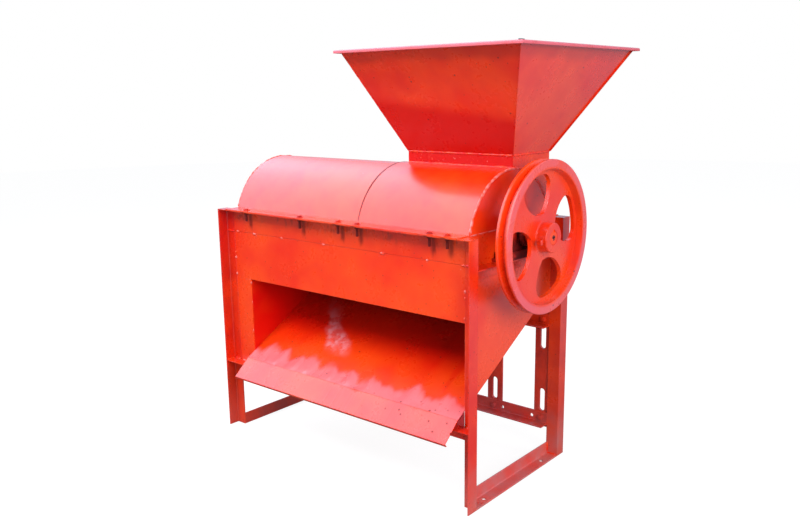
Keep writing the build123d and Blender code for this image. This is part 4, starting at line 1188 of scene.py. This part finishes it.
class SHELLER_OT_fasteners(Dress, bpy.types.Operator):
    """Put detailed bolts, washers and nuts in place"""

    bl_idname = "sheller.fasteners"
    bl_label = "Bolts and nuts"

    def execute(self, context):
        fasteners("cover_bolts", "cover_nuts", 0.008, (0, 0, 1), 1.45)
        fasteners("bearing_bolts", "bearing_nuts", 0.012, (0, 0, 1))
        fasteners("post_bolts", "post_nuts", 0.010, (0, -1, 0))
        return {"FINISHED"}


def soft_lamp(name, place, target, size, power, colour):
    """A square lamp that looks at a point. Paint doesn't mirror its outline."""
    lamp = bpy.data.lights.new(name, "AREA")
    lamp.shape = "RECTANGLE"
    lamp.size, lamp.size_y = size
    lamp.energy = power
    lamp.color = colour
    made = bpy.data.objects.new(name, lamp)
    made.visible_glossy = False
    made.location = place
    made.rotation_mode = "QUATERNION"
    made.rotation_quaternion = (Vector(target) - Vector(place)).to_track_quat("-Z", "Y")
    bpy.context.scene.collection.objects.link(made)


def light(shader, kind, colour, strength):
    """A background of the world or a glowing surface."""
    return shader.node("ShaderNode" + kind, {}, {"Color": (*colour, 1.0), "Strength": strength})


def white_sky():
    """A world that is white to the camera, even light for the object and brighter above in its gloss."""
    look = studio()
    bright_side = (-0.72, -0.45, 0.53)
    world = bpy.data.worlds.new("white_studio")
    world.use_nodes = True
    shader = Shader(world.node_tree)
    path = shader.node("ShaderNodeLightPath", {}, {}, "Is Camera Ray")
    way = shader.node("ShaderNodeTexCoord", {}, {}, "Generated")
    height = shader.split(way, "Z")
    pair = {0: way, 1: bright_side}
    sideways = shader.node("ShaderNodeVectorMath", {"operation": "DOT_PRODUCT"}, pair, "Value")
    low_sky = light(shader, "Background", look.sky_tint, look.low_gloss)
    high_sky = light(shader, "Background", look.sky_tint, look.high_gloss)
    sky = shader.blend(sideways.between(0.30, 0.85), low_sky, high_sky)
    ground = light(shader, "Background", (0.95, 0.97, 1.0), look.ground_gloss)
    mirrored = shader.blend(height.between(-0.03, 0.16), ground, sky)
    even = light(shader, "Background", (0.95, 0.98, 1.04), look.sky)
    unseen = shader.blend(path.out("Is Glossy Ray"), even, mirrored)
    shown = shader.blend(path, unseen, light(shader, "Background", (1.0, 1.0, 1.0), 1.0))
    shader.node("ShaderNodeOutputWorld", {}, {"Surface": shown})
    return world


def floor_white():
    """White to the camera, with the object's shadow. In gloss it is dim, and brighter to the right."""
    look = studio()
    material, shader = new_shader("floor_white")
    path = shader.node("ShaderNodeLightPath", {}, {}, "Is Camera Ray")
    grey = look.floor_grey
    matt = shader.node("ShaderNodeBsdfDiffuse", {}, {"Color": (grey, grey, grey, 1.0)})
    white = shader.node("ShaderNodeBsdfDiffuse", {}, {"Color": (0.80, 0.80, 0.80, 1.0)})
    dim = light(shader, "Emission", (look.ground_gloss,) * 3, 1.0)
    lit = light(shader, "Emission", look.sky_tint, 0.60)
    to_the_right = shader.split(shader.place(), "X").between(0.3, 1.6)
    ground = shader.blend(path.out("Is Glossy Ray"), matt, shader.blend(to_the_right, dim, lit))
    glow_share, glow = 0.80, 1.12
    shown = shader.blend(glow_share, white, light(shader, "Emission", (1.0, 1.0, 1.0), glow))
    shader.node("ShaderNodeOutputMaterial", {}, {"Surface": shader.blend(path, ground, shown)})
    return material


def photo_camera():
    """The camera, turned by its yaw, pitch and roll."""
    look = studio()
    yaw, pitch, roll = look.yaw, look.pitch, look.roll
    back = Vector((math.sin(yaw) * math.cos(pitch), -math.cos(yaw) * math.cos(pitch), math.sin(pitch)))
    level_right = Vector((math.cos(yaw), math.sin(yaw), 0))
    level_up = back.cross(level_right)
    right = level_right * math.cos(roll) + level_up * math.sin(roll)
    upward = level_up * math.cos(roll) - level_right * math.sin(roll)
    turn = Matrix((right, upward, back)).transposed().to_4x4()
    eye = bpy.data.cameras.new("photo_camera")
    eye.lens = look.lens
    eye.sensor_width = 36.0
    eye.clip_end = 100.0
    camera = bpy.data.objects.new("photo_camera", eye)
    camera.matrix_world = Matrix.Translation(look.camera_place) @ turn
    return camera


class SHELLER_OT_studio(Dress, bpy.types.Operator):
    """Build the white floor, the lights and the camera"""

    bl_idname = "sheller.studio"
    bl_label = "Studio"

    def execute(self, context):
        look = studio()
        scene = context.scene
        scene.world = white_sky()

        mesh = bmesh.new()
        bmesh.ops.create_circle(mesh, cap_ends=True, radius=look.floor_radius, segments=96)
        data = bpy.data.meshes.new("floor")
        mesh.to_mesh(data)
        mesh.free()
        data.materials.append(floor_white())
        floor = bpy.data.objects.new("floor", data)
        floor.location.z = -0.0006
        scene.collection.objects.link(floor)

        middle = (0.0, 0.0, 0.5)
        near_pulley = (0.2, 0.0, 0.6)
        blue = (0.90, 0.95, 1.10)
        cool = (0.94, 0.98, 1.08)
        soft_lamp("overhead_lamp", (-2.1, -0.3, 3.1), middle, (3.0, 2.6), look.overhead_power, blue)
        soft_lamp("front_lamp", (-0.8, -2.9, 3.9), middle, (1.6, 1.6), look.front_power, (1.0, 1.0, 1.0))
        soft_lamp("side_lamp", (3.6, -1.6, 1.9), near_pulley, (2.4, 2.0), look.side_power, cool)

        camera = photo_camera()
        scene.collection.objects.link(camera)
        scene.camera = camera
        scene.view_settings.view_transform = "Standard"
        return {"FINISHED"}


steps = (
    SHELLER_OT_frame,
    SHELLER_OT_body,
    SHELLER_OT_covers,
    SHELLER_OT_hopper,
    SHELLER_OT_rotor,
    SHELLER_OT_pulley,
    SHELLER_OT_grate,
    SHELLER_OT_bearings,
    SHELLER_OT_posts,
    SHELLER_OT_fasteners,
    SHELLER_OT_studio,
)


class SHELLER_PT_panel(bpy.types.Panel):
    """Settings and steps of the corn sheller"""

    bl_label = "Corn sheller"
    bl_idname = "SHELLER_PT_panel"
    bl_space_type = "VIEW_3D"
    bl_region_type = "UI"
    bl_category = "Sheller"

    def draw(self, context):
        layout = self.layout
        for settings in (paint(), weld(), studio()):
            box = layout.box()
            for name in settings.__annotations__:
                box.prop(settings, name)
        for step in steps:
            layout.operator(step.bl_idname)


settings_groups = (
    ("sheller_paint", PaintSettings),
    ("sheller_weld", WeldSettings),
    ("sheller_studio", StudioSettings),
)


def register():
    for name, group in settings_groups:
        bpy.utils.register_class(group)
        setattr(bpy.types.Scene, name, PointerProperty(type=group))
    for step in steps:
        bpy.utils.register_class(step)
    bpy.utils.register_class(SHELLER_PT_panel)


def unregister():
    bpy.utils.unregister_class(SHELLER_PT_panel)
    for step in reversed(steps):
        bpy.utils.unregister_class(step)
    for name, group in reversed(settings_groups):
        delattr(bpy.types.Scene, name)
        bpy.utils.unregister_class(group)


def main():
    register()
    for step in steps:
        group, name = step.bl_idname.split(".")
        getattr(getattr(bpy.ops, group), name)()


if __name__ == "__main__":
    main()
